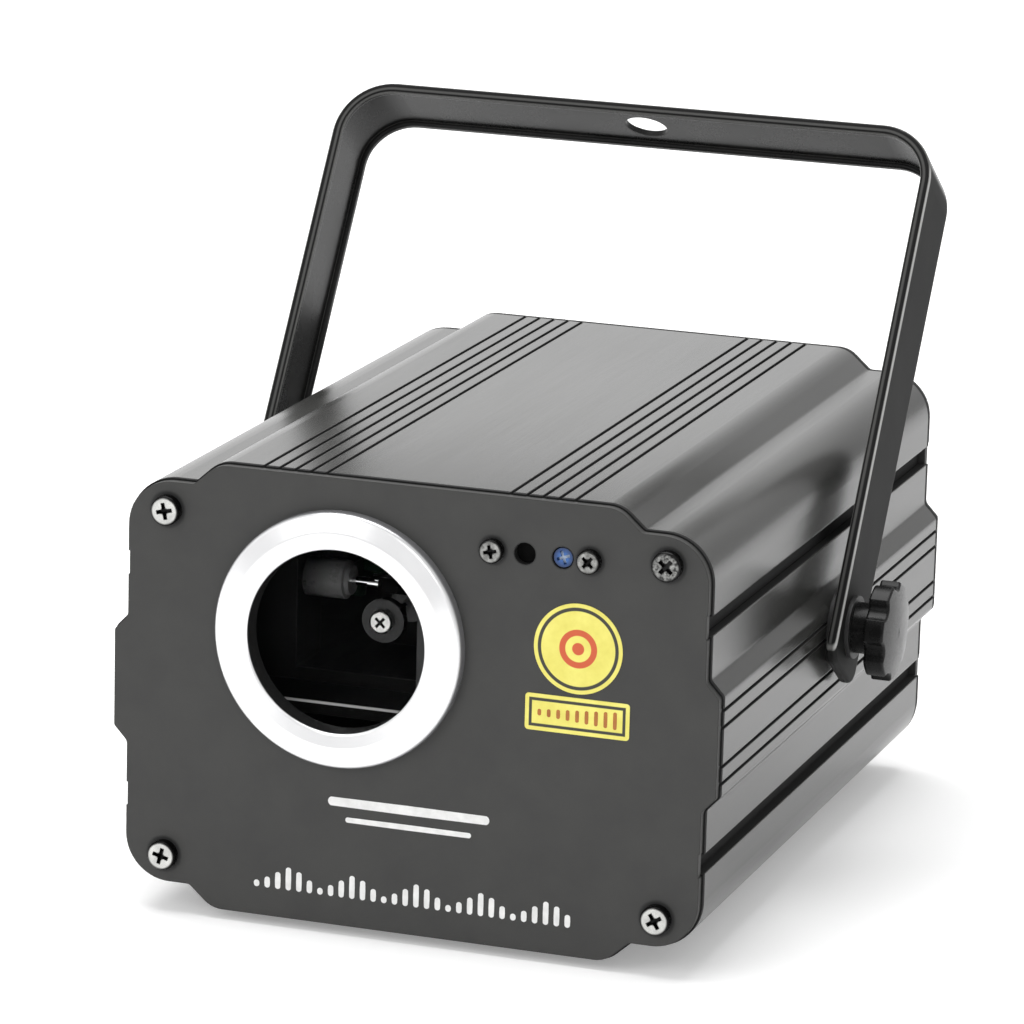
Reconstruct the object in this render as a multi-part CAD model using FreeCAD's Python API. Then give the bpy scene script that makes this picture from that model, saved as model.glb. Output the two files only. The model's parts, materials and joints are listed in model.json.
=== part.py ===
import FreeCAD, Part
import math
import os

from FreeCAD import Rotation, Vector

# Sizes in millimetres, angles in degrees.
# X to the right of someone facing the front, Y to the back, Z up.
# The origin lies under the middle of the case, in the plane that the feet stand on.

# Clearances and cuts shared by all pieces
overrun = 1.0
running_gap = 0.05
fit_gap = 0.3
edge_reach = 0.3

# Case section, the same for the extrusions and the end plates
case_length = 178.0
case_height = 104.5
side_width = 137.6
wall = 2.2
crown_width = 94.6
crown_slope = 5.6
crown_rise = 5.0
crown_edge_radius = 7.0
crown_foot_radius = 1.2
corner_radius = 11.0
band_width = 23.0
band_slope = 3.4
band_rise = 3.2
band_edge_radius = 1.6
slot_drop = 20.1
slot_width = 4.7

# Rubber feet under the crown of the bottom cover
foot_height = 2.0
foot_radius = 3.5
foot_round = 0.5
foot_side_gap = 0.2
foot_inset = 15.0

# Flutes in the crown and grooves in the side band
flute_count = 5
flute_first = 21.7
flute_pitch = 3.75
flute_width = 0.8
flute_depth = 0.9
groove_inner = 4.5
groove_outer = 8.4
groove_width = 0.8
groove_depth = 0.8

# Screw ports in the corners of the covers
port_side_inset = 9.8
port_drop = 6.85
port_radius = 4.8

# Tongue of the covers and channel of the side panels
channel_gap = 2.6
channel_depth = 6.0
channel_floor = 1.8
channel_lip = 1.8
tongue_gap = 0.3
foot_web = 2.0

# End plates
plate_thickness = 2.0
plate_inset = 0.4
slot_notch = 0.3

# Corner screws and small screws: shank, head, cross recess
corner_shank_radius = 1.7
corner_length = 12.0
corner_head_radius = 3.45
corner_head_height = 2.2
small_shank_radius = 1.45
small_length = 8.0
small_head_radius = 2.75
small_head_height = 1.9
screw_hole_gap = 0.3
head_round_share = 0.3
recess_span_share = 0.55
recess_width_share = 0.125
recess_depth_share = 0.6
corner_turns = (12.0, 48.0, 75.0, 31.0)

# Aperture bezel, window and clamp
bezel_x = -17.0
bezel_drop = 37.15
bezel_radius = 29.5
bezel_bore = 21.0
bezel_height = 4.2
bezel_rim = 2.6
bezel_inner_drop = 0.7
bezel_inner_round = 0.8
bezel_outer_round = 1.4
bezel_crest_share = 0.45
spigot_wall = 1.4
glass_radius = 25.0
glass_thickness = 2.0
clamp_wall = 2.5
clamp_lip = 2.0
clamp_back = 1.2

# Microphone board behind the front plate
mic_drop = 12.85
mic_screw_x = 18.4
mic_screw_pitch = 22.6
mic_x = 25.9
trimmer_x = 34.7
peep_radius = 2.5
mic_board_margin = 4.0
mic_board_height = 12.0
board_thickness = 1.6
mic_spacer_length = 6.0
mic_spacer_radius = 2.6
mic_radius = 3.0
mic_gap = 0.5
trimmer_side = 7.0
trimmer_depth = 4.0
trimmer_rotor_gap = 0.3
trimmer_rotor_sunk = 0.4
trimmer_seat_depth = 1.8
trimmer_slot_width = 0.7
trimmer_slot_depth = 0.8
trimmer_slot_span_share = 0.72
trimmer_turn = 20.0

# Hanging bracket
pivot_rise = 6.0
bracket_reach = 123.0
strap_width = 21.5
strap_thickness = 1.4
lip_depth = 2.6
lip_thickness = 2.2
lip_round = 0.7
bend_radius = 14.0
strap_end = 11.6
strap_end_round = 4.5
strap_edge_round = 0.9
bracket_tilt = 33.9
hang_hole_radius = 5.25

# Pivot: friction washer, threaded insert, stud, washer and knob
friction_radius = 8.5
friction_thickness = 2.6
stud_radius = 3.0
insert_spigot_radius = 3.9
insert_body_radius = 5.0
insert_length = 8.0
stud_play = 0.2
washer_radius = 7.4
washer_thickness = 1.0
hub_radius = 6.0
hub_length = 4.5
knob_radius = 11.6
knob_thickness = 4.8
knob_dome = 1.0
knob_edge_round = 0.6
lobe_count = 7
lobe_share = 0.5
lobe_depth = 1.5
stud_embed = 7.0

# Cooling fan
fan_x = -34.0
fan_drop = 30.5
fan_side = 40.0
fan_depth = 10.5
fan_duct_radius = 19.0
fan_hole_pitch = 32.0
fan_corner_radius = 3.0
fan_base_radius = 9.0
fan_base = 1.4
fan_strut_width = 3.0
fan_strut_count = 4
fan_post_radius = 3.0
fan_shaft_radius = 1.5
fan_hub_radius = 8.5
fan_hub_wall = 1.4
fan_air_gap = 0.8
blade_count = 7
blade_thickness = 1.1
blade_pitch = 52.0
blade_chord = 11.0
guard_wire = 0.8
guard_ring_count = 3
guard_eye_radius = 3.2
guard_lift = 0.15
guard_ring_lap = 0.4

# Mains inlet, contacts and fuse drawer
inlet_x = -34.0
inlet_drop = 21.25
inlet_width = 50.0
inlet_neck = 30.0
inlet_height = 31.0
inlet_ear_height = 13.0
inlet_flange = 3.0
inlet_corner_radius = 2.0
inlet_body_width = 27.0
inlet_body_height = 28.0
inlet_body_depth = 21.0
inlet_screw_pitch = 40.0
socket_width = 24.0
socket_height = 16.0
socket_rise = 4.6
socket_depth = 18.0
socket_chamfer = 4.0
contact_thick = 2.0
contact_tall = 4.0
contact_length = 14.0
contact_tail = 8.0
contact_spread = 7.0
contact_offset = 2.0
drawer_width = 24.0
drawer_height = 6.6
drawer_drop = 9.0
drawer_depth = 17.0
drawer_face = 1.2
drawer_face_lap = 0.5
drawer_grip_width = 9.0
drawer_grip_depth = 0.6
drawer_grip_height = 2.0

# Rocker switch
switch_x = 2.0
switch_drop = 21.25
rocker_radius = 9.0
rocker_width = 11.0
rocker_crest = 5.0
rocker_dip = 3.6
rocker_under = 2.5
rocker_sunk = 0.8
rocker_tilt = 10.0
axle_radius = 1.2
switch_wall = 1.2
switch_flange_lap = 1.8
switch_flange = 1.8
switch_depth = 14.0

# Signal sockets
signal_in_x = 13.0
signal_out_x = 43.0
signal_rise = 19.75
signal_width = 26.0
signal_height = 31.0
signal_corner_radius = 3.0
signal_flange = 3.0
signal_body_radius = 11.6
signal_body_depth = 19.0
signal_screw_x = 9.5
signal_screw_z = 12.0
signal_in_bore = 7.9
signal_in_depth = 15.0
pin_radius = 1.2
pin_circle = 4.0
pin_length = 10.0
pin_count = 3
signal_out_bore = 9.6
signal_out_depth = 14.0
core_radius = 7.6
core_length = 12.0
core_hole_radius = 1.35
core_hole_depth = 8.0
latch_width = 8.0
latch_height = 2.6
latch_rise = 12.4
latch_proud = 2.2
latch_sunk = 1.0
latch_pocket_depth = 2.6

# Display, buttons and control board
control_x = 37.0
display_drop = 12.0
display_width = 30.0
display_height = 14.0
display_sunk = 0.3
button_drop = 29.0
button_pitch = 11.5
button_count = 4
button_radius = 3.5
button_proud = 1.8
button_round = 0.6
button_collar = 1.0
button_collar_thickness = 1.0
button_stem_radius = 1.5
button_travel = 0.8
button_end_gap = 0.1
control_gap = 8.0
control_width = 46.0
control_top_margin = 3.0
control_bottom_margin = 4.8
tact_side = 6.0
tact_height = 3.4
post_radius = 2.0
post_inset = 2.6

# Optical deck and pillars
deck_drop = 2.75
deck_thickness = 3.0
deck_side_gap = 2.2
deck_front_gap = 7.0
deck_rear_gap = 37.0
pillar_radius = 3.5
pillar_side_gap = 0.6
pillar_inset = 10.0

# Scanner pair: beam crosses at the same x and y, one mirror above the other
scan_x = -16.5
scan_back = 30.0
scan_y_rise = 20.0
scan_step = 7.0
motor_radius = 4.5
motor_length = 25.0
motor_nose_radius = 3.4
motor_nose = 1.2
motor_seat_depth = 6.0
motor_start = 11.0
scan_shaft_radius = 1.0
mirror_length = 8.0
mirror_thickness = 0.8
mirror_turn = 45.0
mirror_x_width = 5.0
mirror_y_width = 7.0
mirror_clamp_radius = 1.6
mirror_clamp_length = 2.6
mirror_lap = 0.8
scan_hub_radius = 5.1
scan_hub_thickness = 2.4
mount_wall = 3.0
mount_base = 3.0
mount_cheek = 2.5
mount_cheek_gap = 1.2
mount_hold_share = 0.62
beam_port_radius = 3.5

# Lasers, combining mirrors and driver boards on the deck
laser_first_x = 8.0
laser_pitch = 18.0
laser_count = 3
laser_radius = 6.0
laser_length = 40.0
laser_nose_radius = 4.0
laser_nose = 4.0
laser_nose_gap = 13.0
laser_lens_radius = 2.0
laser_lens_depth = 1.0
block_inset = 7.0
block_depth = 26.0
block_side_wall = 4.0
block_top_wall = 4.0
comb_thickness = 1.0
comb_width = 11.0
comb_height = 17.0
comb_holder_side = 9.0
comb_holder_height = 4.5
comb_slot_depth = 3.0
driver_gap = 4.0
driver_front_gap = 12.0
driver_board_width = 50.0
driver_board_x = 30.0
driver_rear_gap = 6.0
driver_post_inset = 4.0
driver_post_share = 0.1
chip_length_share = 0.35
chip_width = 9.0
chip_height = 4.0
chip_pitch = 16.0
sink_length = 30.0
sink_width_share = 0.2
sink_height = 14.0
sink_place_share = 0.3

# Power supply on the floor of the bottom cover
supply_width = 70.0
supply_length = 104.0
supply_y = -15.0
supply_gap = 5.5
supply_post_radius = 2.5
supply_post_inset = 4.0
transformer_width = 24.0
transformer_length = 22.0
transformer_height = 20.0
transformer_x = 12.0
transformer_y = 4.0
capacitor_radius = 8.0
capacitor_height = 24.0
capacitor_x = 20.0
capacitor_y = 32.0
supply_sink_width = 4.0
supply_sink_length = 40.0
supply_sink_height = 22.0
supply_sink_x = 22.0

# Places that follow from the sizes above
half_height = case_height / 2
mid = foot_height + half_height
half_side = side_width / 2
half_length = case_length / 2
band_face = half_side + band_rise
shoulder = half_height - crown_rise
slot_centre = shoulder - slot_drop
port_spacing_x = 2 * (half_side - port_side_inset)
port_spacing_z = 2 * (shoulder - port_drop)
front_face = -half_length - plate_thickness
rear_face = half_length + plate_thickness
bezel_rise = half_height - bezel_drop
mic_rise = half_height - mic_drop
fan_rise = shoulder - fan_drop
bezel_z = mid + bezel_rise
mic_z = mid + mic_rise
fan_z = mid + fan_rise
pivot_z = mid + pivot_rise
bracket_half = band_face + friction_thickness + strap_thickness
cover_foot = slot_centre + slot_width / 2
panel_edge = slot_centre - slot_width / 2
channel_base = panel_edge - channel_depth
channel_out = half_side - wall
channel_in = channel_out - channel_gap
port_bore = corner_shank_radius + running_gap
deck_top = mid - deck_drop
deck_front = -half_length + deck_front_gap
deck_rear = half_length - deck_rear_gap
scan_y = -half_length + scan_back
scan_high = mid + scan_y_rise
scan_low = scan_high - scan_step
deck_half_width = channel_in - channel_lip - deck_side_gap
driver_rear = deck_rear - driver_rear_gap
driver_board_length = driver_rear - driver_front_gap - (scan_y + laser_nose_gap + laser_length)
driver_board_y = driver_rear - driver_board_length / 2
chip_length = driver_board_length * chip_length_share
sink_width = driver_board_length * sink_width_share
sink_place = driver_board_length * sink_place_share
floor_in = foot_height + wall
crown_flat = crown_width / 2 - crown_edge_radius * math.tan(math.atan2(crown_rise, crown_slope) / 2)
pillar_x = crown_flat - pillar_radius - pillar_side_gap
foot_x = crown_flat - foot_radius - foot_side_gap
back = Vector(0, 1, 0)
front = Vector(0, -1, 0)
right = Vector(1, 0, 0)
up = Vector(0, 0, 1)


def bar(x0, x1, y0, y1, z0, z1):
    return Part.makeBox(x1 - x0, y1 - y0, z1 - z0, Vector(x0, y0, z0))


def block(x, y0, y1, z, width, height):
    return bar(x - width / 2, x + width / 2, y0, y1, z - height / 2, z + height / 2)


def rod(radius, start, direction, length):
    return Part.makeCylinder(radius, length, start, direction)


def tube(outer, inner, start, direction, length):
    bore = rod(inner, start - direction * overrun, direction, length + overrun * 2)
    return rod(outer, start, direction, length).cut(bore)


def turned(shape, origin, direction, turn=0.0):
    # A piece made along +Z is turned about its own axis and stood on the origin along the direction.
    shape.rotate(Vector(0, 0, 0), up, turn)
    rotation = Rotation(up, direction)
    shape.rotate(Vector(0, 0, 0), rotation.Axis, math.degrees(rotation.Angle))
    shape.translate(origin)
    return shape


def rounded_face(points, radii, y=0.0):
    # Flat face in the XZ plane at y, each corner rounded by its own radius.
    count = len(points)
    corners = [Vector(a, y, b) for a, b in points]
    enters = []
    leaves = []
    middles = []
    for i in range(count):
        to_before = (corners[i - 1] - corners[i]).normalize()
        to_after = (corners[(i + 1) % count] - corners[i]).normalize()
        half = to_before.getAngle(to_after) / 2
        reach = radii[i] / math.tan(half)
        inward = (to_before + to_after).normalize() if radii[i] else Vector(0, 0, 0)
        enters.append(corners[i] + to_before * reach)
        leaves.append(corners[i] + to_after * reach)
        middles.append(corners[i] + inward * (radii[i] / math.sin(half) - radii[i]))
    edges = []
    for i in range(count):
        if radii[i]:
            edges.append(Part.Arc(enters[i], middles[i], leaves[i]).toShape())
        edges.append(Part.LineSegment(leaves[i], enters[(i + 1) % count]).toShape())
    return Part.Face(Part.Wire(edges))


def prism(points, radii, y, length):
    return rounded_face(points, radii, y).extrude(Vector(0, length, 0))


def lathe(points, radii, origin, direction):
    # Points are (radius, height along the direction).
    solid = rounded_face(points, radii).revolve(Vector(0, 0, 0), up, 360)
    return turned(solid, origin, direction)


def shifted(points, distance, closed):
    # The path moved to its own left by the distance, with mitred corners.
    count = len(points)
    moved = []
    for i in range(count):
        x, z = points[i]
        before = points[i - 1] if closed or i else None
        after = points[(i + 1) % count] if closed or i < count - 1 else None
        normals = []
        for a, b in ((before, points[i]), (points[i], after)):
            if a is not None and b is not None:
                length = math.hypot(b[0] - a[0], b[1] - a[1])
                normals.append(((a[1] - b[1]) / length, (b[0] - a[0]) / length))
        nx = sum(n[0] for n in normals)
        nz = sum(n[1] for n in normals)
        scale = distance if len(normals) == 1 else 2 * distance / (nx * nx + nz * nz)
        moved.append((x + nx * scale, z + nz * scale))
    return moved


def turns_left(points, i):
    ax = points[i][0] - points[i - 1][0]
    az = points[i][1] - points[i - 1][1]
    after = points[(i + 1) % len(points)]
    return ax * (after[1] - points[i][1]) - az * (after[0] - points[i][0]) > 0


def shell_section(path, radii, thickness):
    # Closed outline of a wall that follows the path and lies to its left.
    inner = shifted(path, thickness, False)
    inner_radii = []
    for i in range(len(path)):
        radius = radii[i]
        if radius:
            radius = radius - thickness if turns_left(path, i) else radius + thickness
        inner_radii.append(max(radius, 0))
    return path + inner[::-1], list(radii) + inner_radii[::-1]


def both_sides(shape):
    return [shape, shape.mirror(Vector(0, 0, 0), right)]


def pan_screw(shank_radius, length, head_radius, head_height, origin, direction, turn):
    points = [(0, -length), (shank_radius, -length), (shank_radius, 0), (head_radius, 0),
              (head_radius, head_height), (0, head_height)]
    radii = [0, 0, 0, 0, head_height * head_round_share, 0]
    solid = rounded_face(points, radii).revolve(Vector(0, 0, 0), up, 360)
    span = head_radius * recess_span_share
    width = head_radius * recess_width_share
    bottom = head_height * (1 - recess_depth_share)
    cross = [bar(-span, span, -width, width, bottom, head_height + overrun),
             bar(-width, width, -span, span, bottom, head_height + overrun)]
    return turned(solid.cut(cross), origin, direction, turn)


def small_screw(origin, direction, turn=0.0, length=small_length):
    return pan_screw(small_shank_radius, length, small_head_radius, small_head_height,
                     origin, direction, turn)


def corner_places():
    x = port_spacing_x / 2
    z = port_spacing_z / 2
    return [(-x, mid + z), (x, mid + z), (-x, mid - z), (x, mid - z)]


# Case
def top_cover():
    crown = crown_width / 2
    foot = crown + crown_slope
    path = [(half_side, cover_foot), (half_side, shoulder), (foot, shoulder), (crown, half_height),
            (-crown, half_height), (-foot, shoulder), (-half_side, shoulder), (-half_side, cover_foot)]
    radii = [0, corner_radius, crown_foot_radius, crown_edge_radius,
             crown_edge_radius, crown_foot_radius, corner_radius, 0]
    points, rounds = shell_section(path, radii, wall)
    solid = prism(points, rounds, -half_length, case_length)
    tongue_in = channel_in + tongue_gap
    tongue_out = channel_out - tongue_gap
    web = bar(tongue_in, half_side, -half_length, half_length, cover_foot, cover_foot + foot_web)
    tongue = bar(tongue_in, tongue_out, -half_length, half_length, channel_base, cover_foot + foot_web)
    port_at = Vector(port_spacing_x / 2, -half_length, port_spacing_z / 2)
    port = rod(port_radius, port_at, back, case_length)
    added = both_sides(web) + both_sides(tongue) + both_sides(port)
    solid = solid.fuse(added).removeSplitter()
    cuts = both_sides(rod(port_bore, port_at - back * overrun, back, case_length + overrun * 2))
    for i in range(flute_count):
        x = flute_first + flute_pitch * i
        flute = bar(x - flute_width / 2, x + flute_width / 2, -half_length - overrun, half_length + overrun,
                    half_height - flute_depth, half_height + overrun)
        cuts += both_sides(flute)
    solid = solid.cut(cuts)
    solid.translate(Vector(0, 0, mid))
    return solid


def bottom_cover():
    return top_cover().mirror(Vector(0, 0, mid), up)


def case_feet():
    points = [(0, 0), (foot_radius, 0), (foot_radius, foot_height), (0, foot_height)]
    feet = []
    for x in (-foot_x, foot_x):
        for y in (-half_length + foot_inset, half_length - foot_inset):
            feet.append(lathe(points, [0, 0, foot_round, 0], Vector(x, y, foot_height), -up))
    return feet


def band_path():
    edge = band_width / 2
    foot = edge + band_slope
    path = [(half_side, -panel_edge), (half_side, -foot), (band_face, -edge), (band_face, edge),
            (half_side, foot), (half_side, panel_edge)]
    radii = [0, band_edge_radius, band_edge_radius, band_edge_radius, band_edge_radius, 0]
    return path, radii


def right_side_panel():
    path, radii = band_path()
    points, rounds = shell_section(path, radii, wall)
    solid = prism(points, rounds, -half_length, case_length)
    lip_in = channel_in - channel_lip
    seat = channel_base - channel_floor
    added = []
    for sign in (1, -1):
        low, high = sorted((sign * seat, sign * channel_base))
        added.append(bar(lip_in, channel_out + wall / 2, -half_length, half_length, low, high))
        low, high = sorted((sign * seat, sign * panel_edge))
        added.append(bar(lip_in, channel_in, -half_length, half_length, low, high))
    solid = solid.fuse(added).removeSplitter()
    cuts = []
    for place in (groove_inner, groove_outer, -groove_inner, -groove_outer):
        cuts.append(bar(band_face - groove_depth, band_face + overrun, -half_length - overrun,
                        half_length + overrun, place - groove_width / 2, place + groove_width / 2))
    inner_face = band_face - wall
    cuts.append(rod(insert_spigot_radius + running_gap, Vector(inner_face - overrun, 0, pivot_rise), right,
                    wall + overrun * 2))
    cuts.append(rod(insert_body_radius + fit_gap, Vector(inner_face - insert_length, 0, pivot_rise), right,
                    insert_length))
    solid = solid.cut(cuts)
    solid.translate(Vector(0, 0, mid))
    return solid


def left_side_panel():
    return right_side_panel().mirror(Vector(0, 0, 0), right)


def end_plate(y):
    crown = crown_width / 2
    crown_foot = crown + crown_slope
    band_edge = band_width / 2
    band_foot = band_edge + band_slope
    notch = half_side - slot_notch
    quarter = [(band_face, band_edge), (half_side, band_foot), (half_side, panel_edge), (notch, panel_edge),
               (notch, cover_foot), (half_side, cover_foot), (half_side, shoulder), (crown_foot, shoulder),
               (crown, half_height)]
    rounds = [band_edge_radius, band_edge_radius, 0, 0, 0, 0, corner_radius, crown_foot_radius,
              crown_edge_radius]
    path = quarter + [(-x, z) for x, z in quarter[::-1]]
    path += [(-x, -z) for x, z in quarter] + [(x, -z) for x, z in quarter[::-1]]
    radii = rounds + rounds[::-1] + rounds + rounds[::-1]
    outline = shifted(path, plate_inset, True)
    edges = []
    for i in range(len(path)):
        radius = radii[i]
        if radius:
            radius = radius - plate_inset if turns_left(path, i) else radius + plate_inset
        edges.append(radius)
    solid = prism([(x, z + mid) for x, z in outline], edges, y, plate_thickness)
    hole = corner_shank_radius + screw_hole_gap
    return solid.cut([through_plate(hole, x, y, z) for x, z in corner_places()])


def through_plate(radius, x, y, z):
    return rod(radius, Vector(x, y - overrun, z), back, plate_thickness + overrun * 2)


def window_in_plate(x, y, z, width, height):
    return block(x, y - overrun, y + plate_thickness + overrun, z, width, height)


def front_plate():
    y = front_face
    cuts = [through_plate(bezel_bore + spigot_wall + running_gap, bezel_x, y, bezel_z),
            through_plate(peep_radius, mic_x, y, mic_z),
            through_plate(peep_radius, trimmer_x, y, mic_z)]
    for x in mic_screw_places():
        cuts.append(through_plate(small_shank_radius + screw_hole_gap, x, y, mic_z))
    return end_plate(y).cut(cuts)


def rear_plate():
    y = half_length
    small_hole = small_shank_radius + screw_hole_gap
    cuts = [through_plate(fan_duct_radius, fan_x, y, fan_z)]
    for x, z in fan_screw_places() + inlet_screw_places() + signal_screw_places():
        cuts.append(through_plate(small_hole, x, y, z))
    cuts.append(window_in_plate(inlet_x, y, mid - inlet_drop, inlet_body_width + fit_gap * 2,
                                inlet_body_height + fit_gap * 2))
    cuts.append(window_in_plate(switch_x, y, mid - switch_drop, switch_body_width() + fit_gap * 2,
                                switch_body_height() + fit_gap * 2))
    for x in (signal_in_x, signal_out_x):
        cuts.append(through_plate(signal_body_radius + fit_gap, x, y, mid + signal_rise))
    cuts.append(window_in_plate(control_x, y, mid - display_drop, display_width + fit_gap * 2,
                                display_height + fit_gap * 2))
    for x in button_places():
        cuts.append(through_plate(button_radius + fit_gap, x, y, mid - button_drop))
    return end_plate(y).cut(cuts)


def plate_screws():
    screws = []
    for y, direction in ((front_face, front), (rear_face, back)):
        for (x, z), turn in zip(corner_places(), corner_turns):
            screws.append(pan_screw(corner_shank_radius, corner_length, corner_head_radius,
                                    corner_head_height, Vector(x, y, z), direction, turn))
    return screws


# Aperture
def aperture_bezel():
    spigot = bezel_bore + spigot_wall
    crest = bezel_bore + (bezel_radius - bezel_bore) * bezel_crest_share
    points = [(bezel_bore, -plate_thickness), (spigot, -plate_thickness), (spigot, 0), (bezel_radius, 0),
              (bezel_radius, bezel_rim), (crest, bezel_height), (bezel_bore, bezel_height - bezel_inner_drop)]
    crest_round = (bezel_radius - crest) / 2
    radii = [0, 0, 0, 0, bezel_outer_round, crest_round, bezel_inner_round]
    return lathe(points, radii, Vector(bezel_x, front_face, bezel_z), front)


def window_glass():
    return rod(glass_radius, Vector(bezel_x, -half_length, bezel_z), back, glass_thickness)


def window_clamp():
    inner = glass_radius + running_gap
    outer = inner + clamp_wall
    lip = glass_radius - clamp_lip
    points = [(inner, 0), (outer, 0), (outer, glass_thickness + clamp_back),
              (lip, glass_thickness + clamp_back), (lip, glass_thickness), (inner, glass_thickness)]
    return lathe(points, [0] * len(points), Vector(bezel_x, -half_length, bezel_z), back)


# Microphone board
def mic_screw_places():
    return [mic_screw_x, mic_screw_x + mic_screw_pitch]


def mic_board():
    y = -half_length + mic_spacer_length
    z = mic_z
    x0 = mic_screw_x - mic_board_margin
    x1 = mic_screw_x + mic_screw_pitch + mic_board_margin
    board = bar(x0, x1, y, y + board_thickness, z - mic_board_height / 2, z + mic_board_height / 2)
    hole = small_shank_radius + screw_hole_gap
    through = board_thickness + overrun * 2
    holes = [rod(hole, Vector(x, y - overrun, z), back, through) for x in mic_screw_places()]
    return board.cut(holes)


def mic_capsule():
    length = mic_spacer_length - mic_gap
    return rod(mic_radius, Vector(mic_x, -half_length + mic_gap, mic_z), back, length)


def sensitivity_trimmer():
    y = -half_length + mic_spacer_length
    z = mic_z
    body = block(trimmer_x, y - trimmer_depth, y, z, trimmer_side, trimmer_side)
    seat = rod(trimmer_rotor_radius() + running_gap, Vector(trimmer_x, y - trimmer_depth - overrun, z), back,
               trimmer_seat_depth + overrun)
    return body.cut(seat)


def trimmer_rotor_radius():
    return peep_radius - trimmer_rotor_gap


def sensitivity_rotor():
    z = mic_z
    foot = -half_length + mic_spacer_length - trimmer_depth + trimmer_seat_depth
    tip = front_face + trimmer_rotor_sunk
    radius = trimmer_rotor_radius()
    height = foot - tip
    solid = Part.makeCylinder(radius, height)
    span = radius * trimmer_slot_span_share
    half = trimmer_slot_width / 2
    bottom = height - trimmer_slot_depth
    cross = [bar(-span, span, -half, half, bottom, height + overrun),
             bar(-half, half, -span, span, bottom, height + overrun)]
    return turned(solid.cut(cross), Vector(trimmer_x, foot, z), front, trimmer_turn)


def mic_board_spacers():
    z = mic_z
    hole = small_shank_radius + screw_hole_gap
    return [tube(mic_spacer_radius, hole, Vector(x, -half_length, z), back, mic_spacer_length)
            for x in mic_screw_places()]


def mic_board_screws():
    z = mic_z
    length = plate_thickness + mic_spacer_length + board_thickness + small_shank_radius
    return [small_screw(Vector(x, front_face, z), front, corner_turns[i], length)
            for i, x in enumerate(mic_screw_places())]


# Hanging bracket, made upright and then leaned back about the pivot
def strap_bend(depth):
    # Upright slab between the outer face moved in by the depth and everything inside it.
    half = bracket_half - depth
    top = bracket_reach - depth
    low = -strap_width
    radius = bend_radius - depth
    points = [(-half, low), (half, low), (half, top), (-half, top)]
    return rounded_face(points, [0, 0, radius, radius], -strap_width).extrude(Vector(0, strap_width * 2, 0))


def strap_outline(inset):
    # Slab across the arms with the rounded corners at the ends of the strap.
    half = strap_width / 2 - inset
    low = inset - strap_end
    top = bracket_reach + overrun
    reach = bracket_half + overrun
    corner = strap_end_round - inset
    points = [(-half, low), (half, low), (half, top), (-half, top)]
    slab = rounded_face(points, [corner, corner, 0, 0], -reach).extrude(back * (reach * 2))
    return turned(slab, Vector(0, 0, 0), up, 90)


def bracket():
    outer = strap_bend(0).cut(strap_bend(lip_depth)).common(strap_outline(0))
    outer = outer.makeFillet(strap_edge_round, strap_rims(outer, 0, strap_width / 2))
    outer = outer.makeFillet(lip_round, strap_rims(outer, lip_depth, strap_width / 2))
    channel = strap_bend(strap_thickness).cut(strap_bend(lip_depth + overrun))
    channel = channel.common(strap_outline(lip_thickness))
    reach = bracket_half + overrun
    pivots = rod(stud_radius + running_gap * 2, Vector(-reach, 0, 0), right, reach * 2)
    hang_start = Vector(0, 0, bracket_reach - lip_depth - overrun)
    hang = rod(hang_hole_radius, hang_start, up, lip_depth + overrun * 2)
    solid = outer.cut([channel, pivots, hang])
    solid = solid.makeFillet(lip_round, strap_rims(solid, lip_depth, strap_width / 2 - lip_thickness))
    solid.rotate(Vector(0, 0, 0), right, -bracket_tilt)
    solid.translate(Vector(0, 0, pivot_z))
    return solid


def strap_rims(solid, depth, half):
    # Long edges at one depth below the outer face and one distance from the strap's middle line.
    rims = []
    for edge in solid.Edges:
        points = [v.Point for v in edge.Vertexes]
        level = all(abs(strap_depth(point) - depth) < edge_reach for point in points)
        aside = all(abs(abs(point.y) - half) < edge_reach for point in points)
        if level and aside:
            rims.append(edge)
    return rims


def strap_depth(point):
    bend = max(abs(point.x) - (bracket_half - bend_radius), 0)
    rise = max(point.z - (bracket_reach - bend_radius), 0)
    return bend_radius - math.hypot(bend, rise)


# Pivot pieces on the right side, mirrored for the left
def friction_washers():
    at = Vector(band_face, 0, pivot_z)
    return both_sides(tube(friction_radius, stud_radius + stud_play, at, right, friction_thickness))


def pivot_inserts():
    inner_face = band_face - wall
    at = Vector(inner_face - insert_length, 0, pivot_z)
    spigot = rod(insert_spigot_radius, at, right, band_face - at.x)
    body = rod(insert_body_radius, at, right, insert_length)
    bore = rod(stud_radius + running_gap, at - right * overrun, right, band_face - at.x + overrun * 2)
    return both_sides(spigot.fuse(body).removeSplitter().cut(bore))


def knob_washer():
    at = Vector(bracket_half, 0, pivot_z)
    return tube(washer_radius, stud_radius + stud_play, at, right, washer_thickness)


def knob_seat():
    return bracket_half + washer_thickness


def knob_stud():
    start = band_face - wall - insert_length
    return rod(stud_radius, Vector(start, 0, pivot_z), right, knob_seat() + stud_embed - start)


def knob_head():
    # Lobed disc along +Z: lobes on the full radius, scallops between them.
    step = 2 * math.pi / lobe_count
    half = step * lobe_share / 2
    edges = []
    for i in range(lobe_count):
        at = step * i
        angles = (at - half, at, at + half)
        lobe = [Vector(knob_radius * math.cos(a), knob_radius * math.sin(a), 0) for a in angles]
        edges.append(Part.Arc(lobe[0], lobe[1], lobe[2]).toShape())
        dip = knob_radius - lobe_depth
        low = Vector(dip * math.cos(at + step / 2), dip * math.sin(at + step / 2), 0)
        after = at + step - half
        end = Vector(knob_radius * math.cos(after), knob_radius * math.sin(after), 0)
        edges.append(Part.Arc(lobe[2], low, end).toShape())
    solid = Part.Face(Part.Wire(edges)).extrude(up * (knob_thickness + knob_dome))
    ball = (knob_radius * knob_radius + knob_dome * knob_dome) / (2 * knob_dome)
    dome = Part.makeSphere(ball, Vector(0, 0, knob_thickness + knob_dome - ball))
    return solid.common(dome)


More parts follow.
